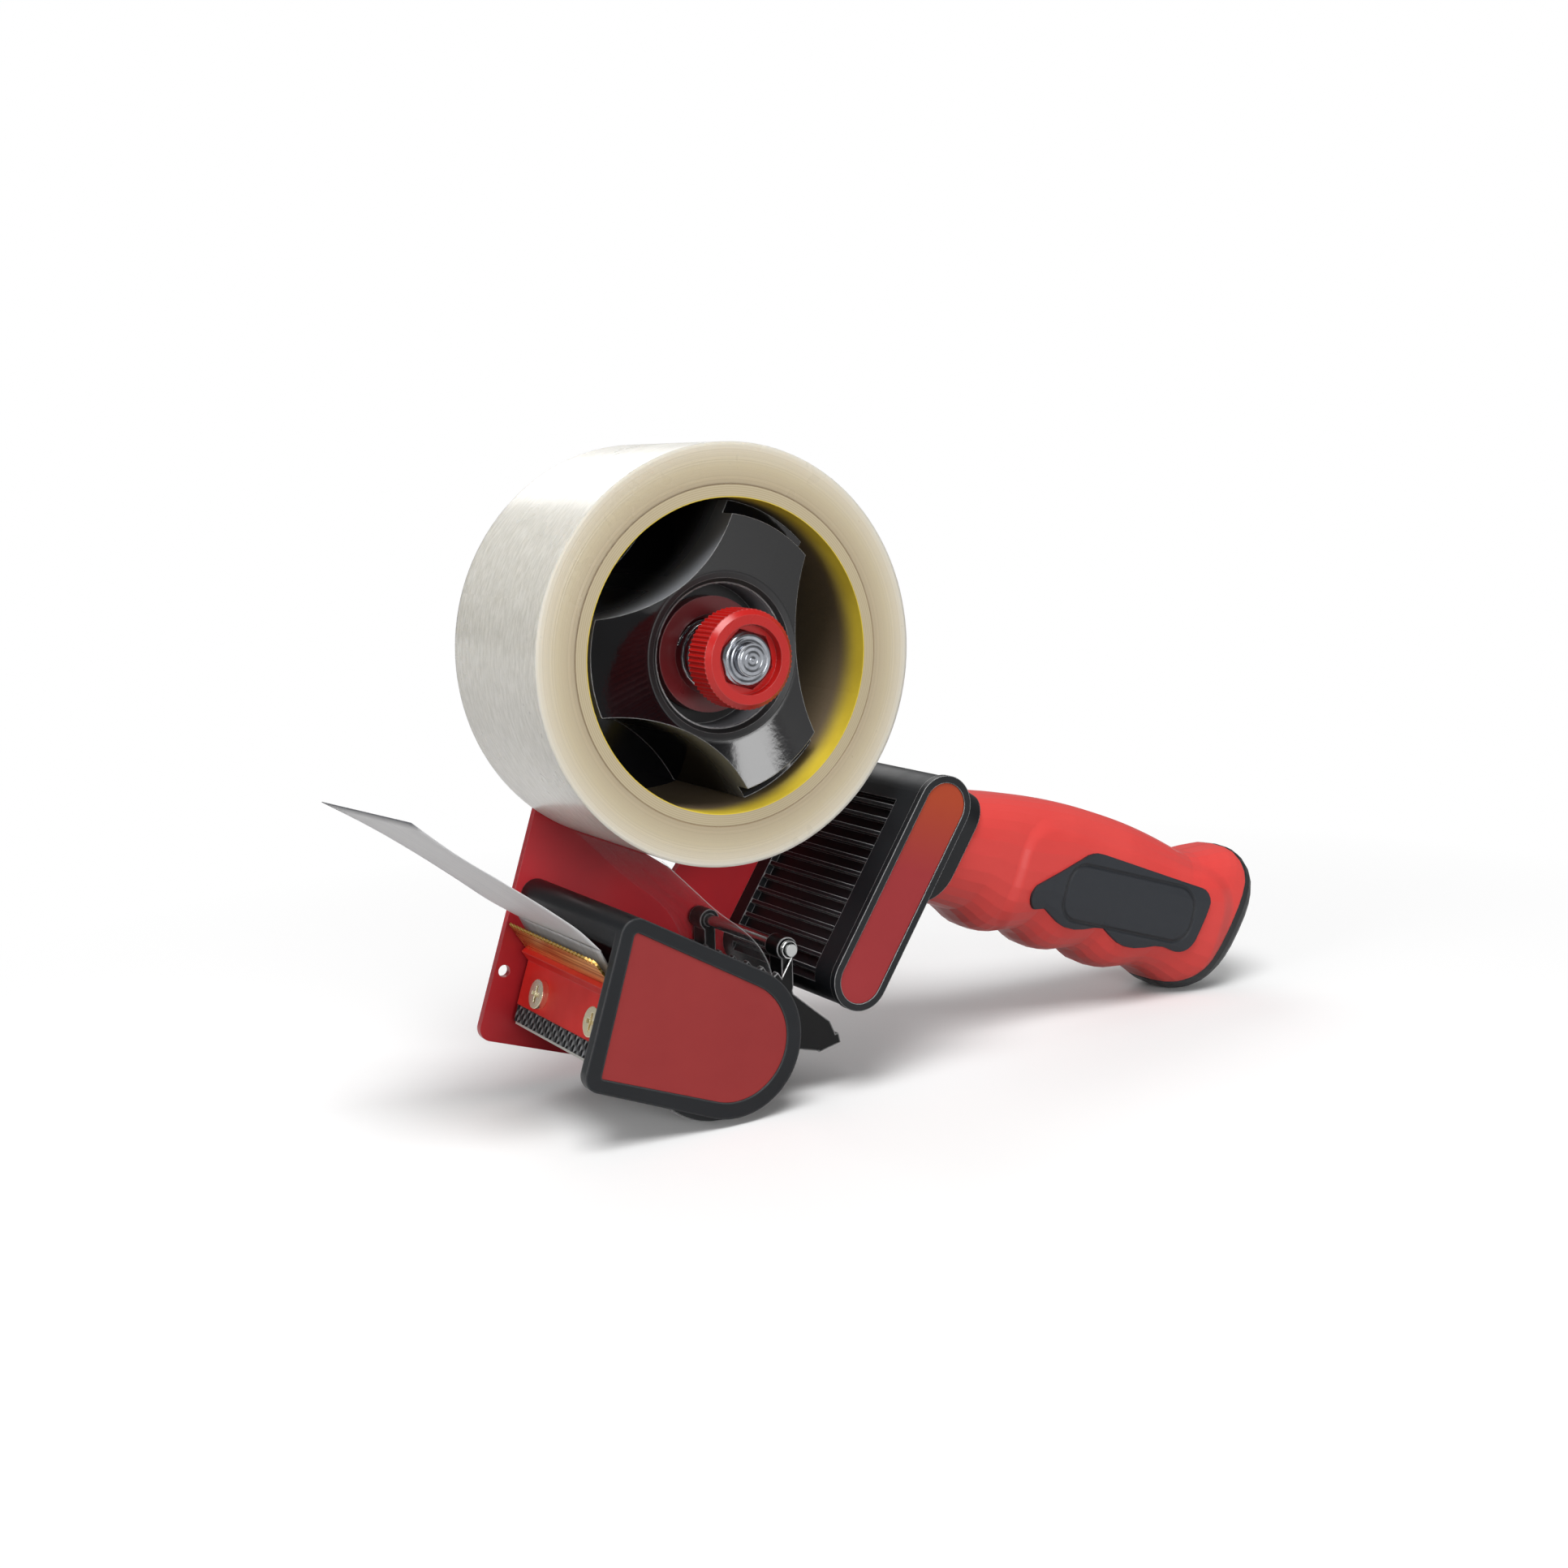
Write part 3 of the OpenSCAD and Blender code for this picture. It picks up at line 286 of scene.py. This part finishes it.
head_inlay = moulded("red_satin_inlay", "#98302F", "#922D2D", 0.42, 0.5, 0.006, edge_mm=0.1,
                     specular=0.3)
dress("head_side_panel", head_inlay.material)
rear_inlay = moulded("red_satin_inlay_painted_reflection", "#9F3033", "#9A2F32", 0.4, 0.5, 0.006,
                     edge_mm=0.1, specular=0.3)
height = add(rear_inlay.tree, "ShaderNodeSeparateXYZ", {0: rear_inlay.place}).outputs["Z"]
# The upper end is painted more orange: a painted reflection.
painted_orange_share = ramp(rear_inlay.tree, height, -40, -20)
refit(rear_inlay, "Base Color",
      blend(rear_inlay.tree, painted_orange_share, rear_inlay.plain, linear("#AE4426")))
dress("rear_side_panel", rear_inlay.material)

# ---------------------------------------------------------------------------------------------
# Blade and the screws of its bracket: spring steel with ground teeth, passivated yellow over
# zinc. The strip keeps fine rolling lines across the tape, and the screws are paler.
# ---------------------------------------------------------------------------------------------
blade_steel = moulded("yellow_passivated_steel", "#F0CE7C", "#A8741C", 0.3, 0.5, 0.004,
                      edge_mm=0.05, metallic=0.85)
tree = blade_steel.tree
rolled = add(tree, "ShaderNodeMapping",
             {"Vector": blade_steel.place, "Scale": (3.0, 0.02, 3.0)}).outputs[0]
tree.links.new(rolled, blade_steel.grain.inputs["Vector"])
lines = add(tree, "ShaderNodeTexNoise",
            {"Vector": rolled, "Scale": 0.6, "Detail": 2.0}).outputs["Fac"]
refit(blade_steel, "Base Color",
      blend(tree, ramp(tree, lines, 0.4, 0.6), blade_steel.first, blade_steel.second))
dress("blade", blade_steel.material)
screw_steel = moulded("pale_passivated_steel", "#F7F0DA", "#EBDDB0", 0.24, 0.6, 0.008,
                      edge_mm=0.3, metallic=0.9)
dress("bracket_screws", screw_steel.material)

# ---------------------------------------------------------------------------------------------
# Wiper: a strip of black nitrile rubber, ribbed on its front to press the tape down, on a
# pale nylon backing. Slanting grey lines across its ribs are painted highlights.
# ---------------------------------------------------------------------------------------------
wiper_rubber = moulded("black_nitrile_rubber", "#1B1D1F", "#232527", 0.5, 0.5, 0.02,
                       specular=0.35)
tree = wiper_rubber.tree
axes = add(tree, "ShaderNodeSeparateXYZ", {0: wiper_rubber.place}).outputs
line_slant = 0.8
line_gap_mm = 2.4
slanted = maths(tree, "MULTIPLY_ADD", axes["Z"], line_slant, axes["Y"])
step = maths(tree, "FLOORED_MODULO", slanted, line_gap_mm)
painted_rib_highlight = ramp(tree, step, 1.3, 0.7, 0.0, 0.85)
refit(wiper_rubber, "Base Color", blend(tree, painted_rib_highlight, wiper_rubber.plain, linear("#8E9092")))
dress("wiper_strip", wiper_rubber.material)
pale_nylon = moulded("natural_nylon", "#CFCEC6", "#D8D7D0", 0.45, 0.6, 0.01)
for piece in ("wiper_backing", "roller_core", "roller_spacers"):
    dress(piece, pale_nylon.material)

# ---------------------------------------------------------------------------------------------
# Roller: a ground rubber sleeve on a spoked nylon core, turning on a steel axle between the
# cheek and the plate. The grinding leaves a fine even bloom.
# ---------------------------------------------------------------------------------------------
roller_rubber = moulded("ground_black_rubber", "#242628", "#2E3032", 0.6, 0.4, 0.03,
                        specular=0.3)
dress("roller_sleeve", roller_rubber.material)

# ---------------------------------------------------------------------------------------------
# Small steel pieces: the axle, the plain screws, the rivets, the flap's pin and its spring.
# They are turned or drawn and plated with bright zinc.
# ---------------------------------------------------------------------------------------------
zinc = moulded("bright_zinc_plated_steel", "#BFC0BF", "#AFB0B0", 0.24, 0.6, 0.006,
               edge_mm=0.25, metallic=1.0)
for piece in ("plate_screws", "blade_rivets", "roller_axle", "axle_screws", "flap_pin",
              "flap_spring", "grip_screws"):
    dress(piece, zinc.material)

# ---------------------------------------------------------------------------------------------
# Retainer flap: black nylon fingers joined by a curved back, hung on a steel pin that the
# plate carries. It is glossier than the head, from rubbing on the tape, and its pale edges are
# a painted highlight.
# ---------------------------------------------------------------------------------------------
flap_nylon = moulded("rubbed_black_nylon_painted_highlights", "#050506", "#0A0B0C", 0.3, 0.6, 0.01,
                     edge_mm=0.6, edge_wear_and_highlight=0.8, specular=0.2)
dress("retainer_flap", flap_nylon.material)

# ---------------------------------------------------------------------------------------------
# Rear housing: a black nylon box with round ends that carries the grip, bolted to the plate.
# Its front is ribbed, and the edges of its sharp ribs are painted pale: a painted highlight.
# ---------------------------------------------------------------------------------------------
rear_nylon = moulded("black_ribbed_nylon", "#121417", "#191B1E", 0.45, 0.45, 0.01, edge_wear_and_highlight=0.75,
                     specular=0.28)
dress("rear_housing", rear_nylon.material)

# ---------------------------------------------------------------------------------------------
# Grip: two shells of coral ABS, screwed together over the housing's tang. Each side swells
# to a raised bed, with soft shoulders, that the rubber pad is set in.
# ---------------------------------------------------------------------------------------------
# The grip's own frame starts at the middle of the rear housing, in mm from the hub, and is
# turned from the plate's by grip_lean degrees.
rear_x = 61.6
rear_z = -45.7
grip_lean = 14.4


def outside_box(made, centre, half, corner, lean_degrees):
    """How far a point of the side view lies outside a round-cornered box in the grip's frame,
    in millimetres, as a node's output. With q the point's distance from the centre along the
    box's own axes, less half and plus corner, it is |max(q, 0)| + min(max(q), 0) - corner."""
    tree = made.tree
    turn = math.radians(grip_lean - lean_degrees)
    middle = Matrix.Rotation(-turn, 3, "Y") @ Vector((-rear_x, 0, -rear_z))
    own = add(tree, "ShaderNodeMapping",
              {"Vector": made.place, "Rotation": (0, -turn, 0),
               "Location": (middle[0] - centre[0], 0, middle[2] - centre[1])}).outputs[0]
    # The box runs right through the grip, so it is far wider than the tool along y.
    through = 1000
    past = vector_maths(tree, "SUBTRACT", vector_maths(tree, "ABSOLUTE", own),
                        (half[0] - corner, through, half[1] - corner))
    reach = vector_maths(tree, "LENGTH", vector_maths(tree, "MAXIMUM", past, (0, 0, 0)),
                         output="Value")
    parts = add(tree, "ShaderNodeSeparateXYZ", {0: past}).outputs
    inner = maths(tree, "MINIMUM", maths(tree, "MAXIMUM", parts["X"], parts["Z"]), 0.0)
    return maths(tree, "SUBTRACT", maths(tree, "ADD", reach, inner), corner)


def emboss(made, height, depth_mm):
    """Adds relief to a material over its grain: height, an output, times depth_mm."""
    raised = add(made.tree, "ShaderNodeBump",
                 {"Height": height, "Distance": depth_mm * mm, "Normal": made.normal})
    refit(made, "Normal", raised.outputs["Normal"])


coral = moulded("coral_abs", "#DE4541", "#E04B46", 0.4, 0.6, 0.012, mottle_mm=22,
                edge_mm=0.6, specular=0.35)
bed_edge = outside_box(coral, centre=(87, 11.5), half=(38, 16.5), corner=10,
                       lean_degrees=12.4)
bed_height_mm = 1.1
emboss(coral, ramp(coral.tree, bed_edge, -1.0, 3.5, 1.0, 0.0, smooth=True), bed_height_mm)
for piece in ("grip_shell_near", "grip_shell_far"):
    dress(piece, coral.material)

# ---------------------------------------------------------------------------------------------
# Grip pads and butt cap: slate thermoplastic rubber, moulded over the shells. Each pad has a
# fine line pressed round its middle, and the cap is blacker from handling.
# ---------------------------------------------------------------------------------------------
pad_rubber = moulded("slate_thermoplastic_rubber", "#282B30", "#2D3035", 0.55, 0.45, 0.02,
                     edge_mm=0.4, specular=0.3)
tree = pad_rubber.tree
line_edge = outside_box(pad_rubber, centre=(89.1, 9.0), half=(23.9, 8.05), corner=6,
                        lean_degrees=15.5)
half_line_mm = 0.8
line_depth_mm = 0.5
unpressed = ramp(tree, maths(tree, "ABSOLUTE", line_edge), 0.0, half_line_mm, smooth=True)
emboss(pad_rubber, unpressed, line_depth_mm)
# The pressed line is also drawn darker: painted shade in it.
refit(pad_rubber, "Base Color", blend(tree, unpressed, linear("#202226"), pad_rubber.plain))
for piece in ("grip_pad_near", "grip_pad_far"):
    dress(piece, pad_rubber.material)
cap_rubber = moulded("black_thermoplastic_rubber", "#17181A", "#1E2022", 0.45, 0.45, 0.02,
                     edge_mm=0.6, specular=0.35)
dress("butt_cap", cap_rubber.material)

# ---------------------------------------------------------------------------------------------
# Hub: polished black ABS with three lobes that fill the core, turning on the stud. The faces
# of its lobes are dished like blades, so that each takes the light in its own way.
# ---------------------------------------------------------------------------------------------


def round_hub(made):
    """A material's pattern space in parts: its X, Y and Z outputs, and the distance from the
    hub's axis."""
    axes = add(made.tree, "ShaderNodeSeparateXYZ", {0: made.place}).outputs
    level = add(made.tree, "ShaderNodeCombineXYZ", {0: axes["X"], 2: axes["Z"]}).outputs[0]
    return axes, vector_maths(made.tree, "LENGTH", level, output="Value")


# The hub's edges are drawn paler, at 0.6: a painted highlight along the lobes.
hub_abs = moulded("polished_black_abs", "#08080A", "#0E0E11", 0.09, 1.4, 0.01, edge_wear_and_highlight=0.6)
tree = hub_abs.tree
axes, radius = round_hub(hub_abs)
# The lobes stand at 80, 200 and 320 degrees: the angle is folded to 60 either side of one.
first_lobe = math.radians(80)
half_pitch = math.radians(60)
angle = maths(tree, "ARCTAN2", axes["Z"], axes["X"])
lifted = maths(tree, "ADD", angle, half_pitch - first_lobe)
folded = maths(tree, "FLOORED_MODULO", lifted, 2 * half_pitch)
turned = maths(tree, "SUBTRACT", folded, half_pitch)
side = maths(tree, "MULTIPLY", maths(tree, "SINE", turned), radius)
# Height of the dish in mm: it slopes outward, twists across, curves slowly and has a crease
# that runs crease_off to one side of the lobe's middle.
dish_slope = 0.45
dish_twist = 0.215
dish_curve = 0.0008
crease_slope = 0.012
crease_off = 3.0
from_crease = maths(tree, "ABSOLUTE", maths(tree, "ADD", side, crease_off))
creased = maths(tree, "MULTIPLY", from_crease, crease_slope)
curved = maths(tree, "MULTIPLY_ADD", maths(tree, "MULTIPLY", side, side), dish_curve, creased)
twisted = maths(tree, "MULTIPLY_ADD", side, dish_twist, curved)
dished = maths(tree, "MULTIPLY_ADD", radius, dish_slope, twisted)
# It lies on the lobes' faces alone: they face the open side, outside the drum round the brake
# and in the near part of the core.
drum_r = 20.6
deepest_y = -10.0
true_normal = add(tree, "ShaderNodeNewGeometry").outputs["True Normal"]
facing = add(tree, "ShaderNodeSeparateXYZ", {0: true_normal}).outputs["Y"]
on_lobe = maths(tree, "MULTIPLY", maths(tree, "LESS_THAN", facing, -0.9),
                maths(tree, "GREATER_THAN", radius, drum_r))
on_face = maths(tree, "MULTIPLY", on_lobe, maths(tree, "LESS_THAN", axes["Y"], deepest_y))
emboss(hub_abs, maths(tree, "MULTIPLY", dished, on_face), 1.0)
# The walls of the gaps are painted grey, most at the front: a painted reflection of the room.
on_wall = maths(tree, "LESS_THAN", maths(tree, "ABSOLUTE", facing), 0.3)
painted_wall_reflection = maths(tree, "MULTIPLY", on_wall,
                ramp(tree, axes["Y"], -20, 2, 1.0, 0.0, smooth=True))
refit(hub_abs, "Base Color", blend(tree, painted_wall_reflection, hub_abs.wear_and_highlight_colour, linear("#85888D")))
# The recess round the cup is left as it was spark-eroded, matt, and so are the gap walls.
matt_roughness = 0.5
unpolished = maths(tree, "MAXIMUM", painted_wall_reflection, ramp(tree, radius, 20.0, 21.5, 1.0, 0.0))
dull = add(tree, "ShaderNodeMix", {0: unpolished, 2: hub_abs.gloss, 3: matt_roughness})
refit(hub_abs, "Roughness", dull.outputs[0])
dress("hub", hub_abs.material)

# ---------------------------------------------------------------------------------------------
# Roll: many layers of polypropylene film. Its outside shows patches of trapped air, and its
# side the edges of the layers as fine rings, tan with glue towards the core and paler towards
# the edge, where the paler tone is a painted glow of light through the film.
# ---------------------------------------------------------------------------------------------
wound = moulded("wound_polypropylene_film", "#D3D0C5", "#EAE7DE", 0.3, 1.6, 0.02,
                mottle_mm=14, edge_mm=1.1, coat=0.2)
tree = wound.tree
axes, radius = round_hub(wound)
core_r = 41.1
roll_r = 51.2
# Round the outside the patches are long: one radian of arc counts as only 14 mm.
mm_per_radian = 14.0
angle = maths(tree, "ARCTAN2", axes["Z"], axes["X"])
unrolled = add(tree, "ShaderNodeCombineXYZ",
               {0: maths(tree, "MULTIPLY", angle, mm_per_radian), 1: axes["Y"]}).outputs[0]
air = add(tree, "ShaderNodeTexNoise",
          {"Vector": unrolled, "Scale": 0.9, "Detail": 5.0, "Roughness": 0.7}).outputs["Fac"]
outer = blend(tree, ramp(tree, air, 0.38, 0.62), wound.first, wound.second)
# Across the side the colour goes through these stops from the core out to the edge.
# The paler outer stops are a painted glow of light through the film.
stops = ((0.0, "#9A8160"), (0.04, "#B8A88B"), (0.45, "#CABD9F"), (0.8, "#D8CEB8"),
         (1.0, "#E4DFD2"))
side_ramp = add(tree, "ShaderNodeValToRGB", {0: ramp(tree, radius, core_r, roll_r)})
for position, _ in stops[1:-1]:
    side_ramp.color_ramp.elements.new(position)
for element, (position, colour) in zip(side_ramp.color_ramp.elements, stops):
    element.position = position
    element.color = linear(colour)
rings = add(tree, "ShaderNodeTexNoise",
            {"W": radius, "Scale": 1.7, "Detail": 4.0, "Roughness": 0.75},
            noise_dimensions="1D").outputs["Fac"]
ring_shade = ramp(tree, rings, 0.3, 0.7, 0.94, 1.04)
side_colour = blend(tree, 1.0, side_ramp.outputs[0], ring_shade, mode="MULTIPLY")
# The side ends just inside the rounded edge.
on_side = maths(tree, "LESS_THAN", radius, roll_r - 0.08)
refit(wound, "Base Color", blend(tree, on_side, outer, side_colour))
layer_depth_mm = 0.05
emboss(wound, rings, layer_depth_mm)
wound.surface.inputs["Subsurface Weight"].default_value = 0.25
wound.surface.inputs["Subsurface Radius"].default_value = (1.0, 0.85, 0.65)
wound.surface.inputs["Subsurface Scale"].default_value = 0.004
dress("tape_roll", wound.material)

# ---------------------------------------------------------------------------------------------
# Core of the roll: wound board, printed yellow inside. Its cut ends show the plies of the
# board, 0.5 mm thick, as rings.
# ---------------------------------------------------------------------------------------------
board = moulded("wound_core_board", "#E8CE40", "#D6BB38", 0.62, 0.8, 0.03, edge_mm=0.2,
                specular=0.3)
tree = board.tree
axes, radius = round_hub(board)
bore_r = 38.3
on_end = maths(tree, "GREATER_THAN", radius, bore_r)
across = add(tree, "ShaderNodeCombineXYZ", {0: radius}).outputs[0]
plies = add(tree, "ShaderNodeTexWave",
            {"Vector": across, "Scale": 0.62, "Distortion": 0.4}, wave_type="BANDS")
cut_colour = blend(tree, plies.outputs["Fac"], linear("#B6A788"), linear("#C4B799"))
# Painted shade: the yellow print goes brown from 2 to 12 mm deep into the core.
painted_depth_shade = ramp(tree, axes["Y"], -22, -12, smooth=True)
print_and_painted_shade = blend(tree, painted_depth_shade, board.plain, linear("#80705A"))
refit(board, "Base Color", blend(tree, on_end, print_and_painted_shade, cut_colour))
dress("tape_core", board.material)

# ---------------------------------------------------------------------------------------------
# Tape between the roll and the blade, and the free tail past it: one strip of clear film with
# glue on its back, drawn thicker than it is so that it shows.
# ---------------------------------------------------------------------------------------------
tape_w = 48.0


def plate_points(x, y, z):
    """Points given in millimetres square to the frame plate, from the hub's axis, as points in
    metres on the standing tool: turned by tilt about the hub. The three arrays are stretched
    to one shape."""
    x, y, z = np.broadcast_arrays(x, y, z)
    return np.stack([
        hub[0] + mm * (x * math.cos(tilt) + z * math.sin(tilt)),
        mm * y,
        hub[2] + mm * (z * math.cos(tilt) - x * math.sin(tilt)),
    ], axis=-1)


def smooth_line(corners, count):
    """A smooth line through corners as count points at even steps: a cubic Hermite curve in
    chord length, whose slope at each corner is that of the chord between its neighbours."""
    p = np.array(corners, float)
    s = np.concatenate([[0], np.cumsum(np.linalg.norm(np.diff(p, axis=0), axis=1))])
    slope = np.gradient(p, s, axis=0)
    t = np.linspace(0, s[-1], count)
    k = np.clip(np.searchsorted(s, t) - 1, 0, len(s) - 2)
    h = (s[k + 1] - s[k])[:, None]
    w = (t - s[k])[:, None] / h
    return ((2 * w ** 3 - 3 * w ** 2 + 1) * p[k] + (w ** 3 - 2 * w ** 2 + w) * h * slope[k]
            + (3 * w ** 2 - 2 * w ** 3) * p[k + 1] + (w ** 3 - w ** 2) * h * slope[k + 1])


def strip_of_film(name, grid, material):
    """A sheet through grid, an array of points (along, across, 3) in metres, with its length
    and width in mm as UV map, thickened evenly to both sides."""
    drawn_thickness = 0.16 * mm
    along, wide = grid.shape[:2]
    row = np.arange((along - 1) * wide).reshape(along - 1, wide)[:, :-1].ravel()
    faces = np.stack([row, row + 1, row + wide + 1, row + wide], axis=1)
    mesh = bpy.data.meshes.new(name)
    mesh.from_pydata(grid.reshape(-1, 3).tolist(), [], faces.tolist())
    length = np.concatenate([[0], np.cumsum(np.linalg.norm(
        np.diff(grid[:, 0], axis=0), axis=1))]) / mm
    width = np.linspace(0, tape_w, wide)
    flat = np.stack(np.meshgrid(length, width, indexing="ij"), axis=-1).reshape(-1, 2)
    mesh.uv_layers.new(name="film").data.foreach_set("uv", flat[faces.ravel()].ravel())
    mesh.shade_smooth()
    mesh.materials.append(material)
    piece = bpy.data.objects.new(name, mesh)
    bpy.context.scene.collection.objects.link(piece)
    solid = piece.modifiers.new("thickness", "SOLIDIFY")
    solid.thickness = drawn_thickness
    solid.offset = 0
    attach(piece, "frame")
    return piece


def film(name, pale, dark, alpha, edge_alpha, thick_mm, full_alpha, end_mm):
    """Film whose tint and haze run in streaks along it and whose near edge is denser, over
    0.7 mm. Over the 14 mm up to thick_mm along the UV map it goes from alpha to full_alpha, and
    over the 4 mm up to end_mm, its cut end, it darkens."""
    material, tree = new_material(name)
    uv = add(tree, "ShaderNodeUVMap", uv_map="film").outputs[0]
    axes = add(tree, "ShaderNodeSeparateXYZ", {0: uv}).outputs
    stretched = add(tree, "ShaderNodeMapping", {"Vector": uv, "Scale": (0.03, 0.5, 1)})
    streaks = add(tree, "ShaderNodeTexNoise",
                  {"Vector": stretched.outputs[0], "Scale": 1.0, "Detail": 4.0}).outputs["Fac"]
    tint = blend(tree, ramp(tree, streaks, 0.35, 0.65), linear(pale), linear(dark))
    end = ramp(tree, axes["X"], end_mm - 4, end_mm)
    strained = ramp(tree, axes["X"], thick_mm - 14, thick_mm, alpha, full_alpha)
    haze = ramp(tree, streaks, 0.35, 0.65, -0.04, 0.05)
    hazy = maths(tree, "ADD", strained, haze)
    ripple = add(tree, "ShaderNodeBump", {"Height": streaks, "Distance": 0.02 * mm})
    # Light goes through to the other side, as in any haze of thin film.
    surface = add(tree, "ShaderNodeBsdfPrincipled",
                  {"Base Color": blend(tree, end, tint, linear("#55565A")),
                   "Roughness": 0.5, "Specular IOR Level": 0.25, "Subsurface Weight": 0.8,
                   "Subsurface Radius": (1, 1, 1), "Subsurface Scale": mm,
                   "Alpha": ramp(tree, axes["Y"], 0.7, 0.1, hazy, edge_alpha),
                   "Normal": ripple.outputs["Normal"]})
    add(tree, "ShaderNodeOutputMaterial", {"Surface": surface.outputs[0]})
    return material


# The web bows up a little off the straight line, laps the roller and runs to the blade.
lap_r = 20.4
lap = np.radians(np.linspace(54, -148, 60))
web_line = np.concatenate([
    smooth_line([(-4.5, -51.5), (4.5, -56.0), (14.6, -60.9), (21.9, -63.6), (27.6, -66.7),
                 (31.7, -70.4), (34.67, -74.75)], 40)[:-1],
    np.stack([roller_x + lap_r * np.cos(lap), roller_z + lap_r * np.sin(lap)], axis=1),
    smooth_line([(5.2, -102.31), (-5.17, -85.7), (-14.8, -75.5)], 30)[1:],
])
ys = np.linspace(-tape_w / 2, tape_w / 2, 13)
web_grid = plate_points(web_line[:, :1], ys, web_line[:, 1:])
# The web isn't cut, so its dark end is put far beyond it.
no_end = 999
web_film = film("clear_polypropylene_film", "#C4C4C6", "#AFAFB2", alpha=0.07,
                edge_alpha=0.38, thick_mm=135, full_alpha=0.97, end_mm=no_end)
web = strip_of_film("tape_web_film", web_grid, web_film)
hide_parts("tape_web")

# The tail springs forward off the blade's points and twists a little on its way.
near_line = smooth_line([(-14.7, -75.4), (-22, -71.6), (-29, -69.0), (-43.7, -64.2),
                         (-57, -60.0), (-69.0, -55.3)], 60)
far_line = smooth_line([(-14.9, -75.6), (-24, -73.0), (-34, -69.4), (-48, -64.6),
                        (-60, -61.0), (-72.9, -57.8)], 60)
share = np.linspace(0, 1, len(ys))[None, :, None]
tail_line = near_line[:, None] * (1 - share) + far_line[:, None] * share
tail_grid = plate_points(tail_line[..., 0], ys, tail_line[..., 1])
tail_film = film("stretched_polypropylene_film", "#E4E4E6", "#D2D2D5", alpha=0.95,
                 edge_alpha=0.98, thick_mm=14, full_alpha=0.97, end_mm=58)
tail = strip_of_film("tape_tail_film", tail_grid, tail_film)
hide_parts("tape_tail")

# ---------------------------------------------------------------------------------------------
# Tension stack on the stud: a wool felt brake ring, a dark red cup, a drawn steel spring, a
# chromed washer and a fluted knob of red acetal.
# ---------------------------------------------------------------------------------------------
felt = moulded("grey_wool_felt", "#66655F", "#74736C", 0.95, 0.5, 0.2)
dress("brake_felt", felt.material)
cup = moulded("dark_red_acetal", "#6C1A1E", "#60171B", 0.3, 0.6, 0.006, edge_mm=0.4, edge_wear_and_highlight=0.15)
dress("pressure_cup", cup.material)
knob = moulded("bright_red_acetal", "#BC1814", "#B21512", 0.28, 0.6, 0.006, edge_mm=0.25,
               edge_wear_and_highlight=0.1)
dress("tension_knob", knob.material)
bright = moulded("bright_drawn_steel", "#E6E7E8", "#D9DADC", 0.14, 0.6, 0.004, edge_mm=0.2,
                 metallic=1.0)
dress("brake_spring", bright.material)
chrome = moulded("chromed_steel", "#A6A8B2", "#9294A0", 0.16, 0.8, 0.004, metallic=1.0)
for piece in ("spring_washer", "stud_nut"):
    dress(piece, chrome.material)

# ---------------------------------------------------------------------------------------------
# Stud and lock nut: zinc-plated steel. Their ends were faced on a lathe, which left rings
# 1.3 mm apart round the axis.
# ---------------------------------------------------------------------------------------------
turned_steel = moulded("faced_zinc_plated_steel", "#A9ACB2", "#83868C", 0.18, 0.6, 0.006,
                       mottle_mm=3, edge_wear_and_highlight=0.6, metallic=1.0)
ring_gap_mm = 1.3
_, radius = round_hub(turned_steel)
turn = maths(turned_steel.tree, "MULTIPLY", radius, math.tau / ring_gap_mm)
ring_depth_mm = 0.045
emboss(turned_steel, maths(turned_steel.tree, "SINE", turn), ring_depth_mm)
for piece in ("hub_stud", "lock_nut"):
    dress(piece, turned_steel.material)
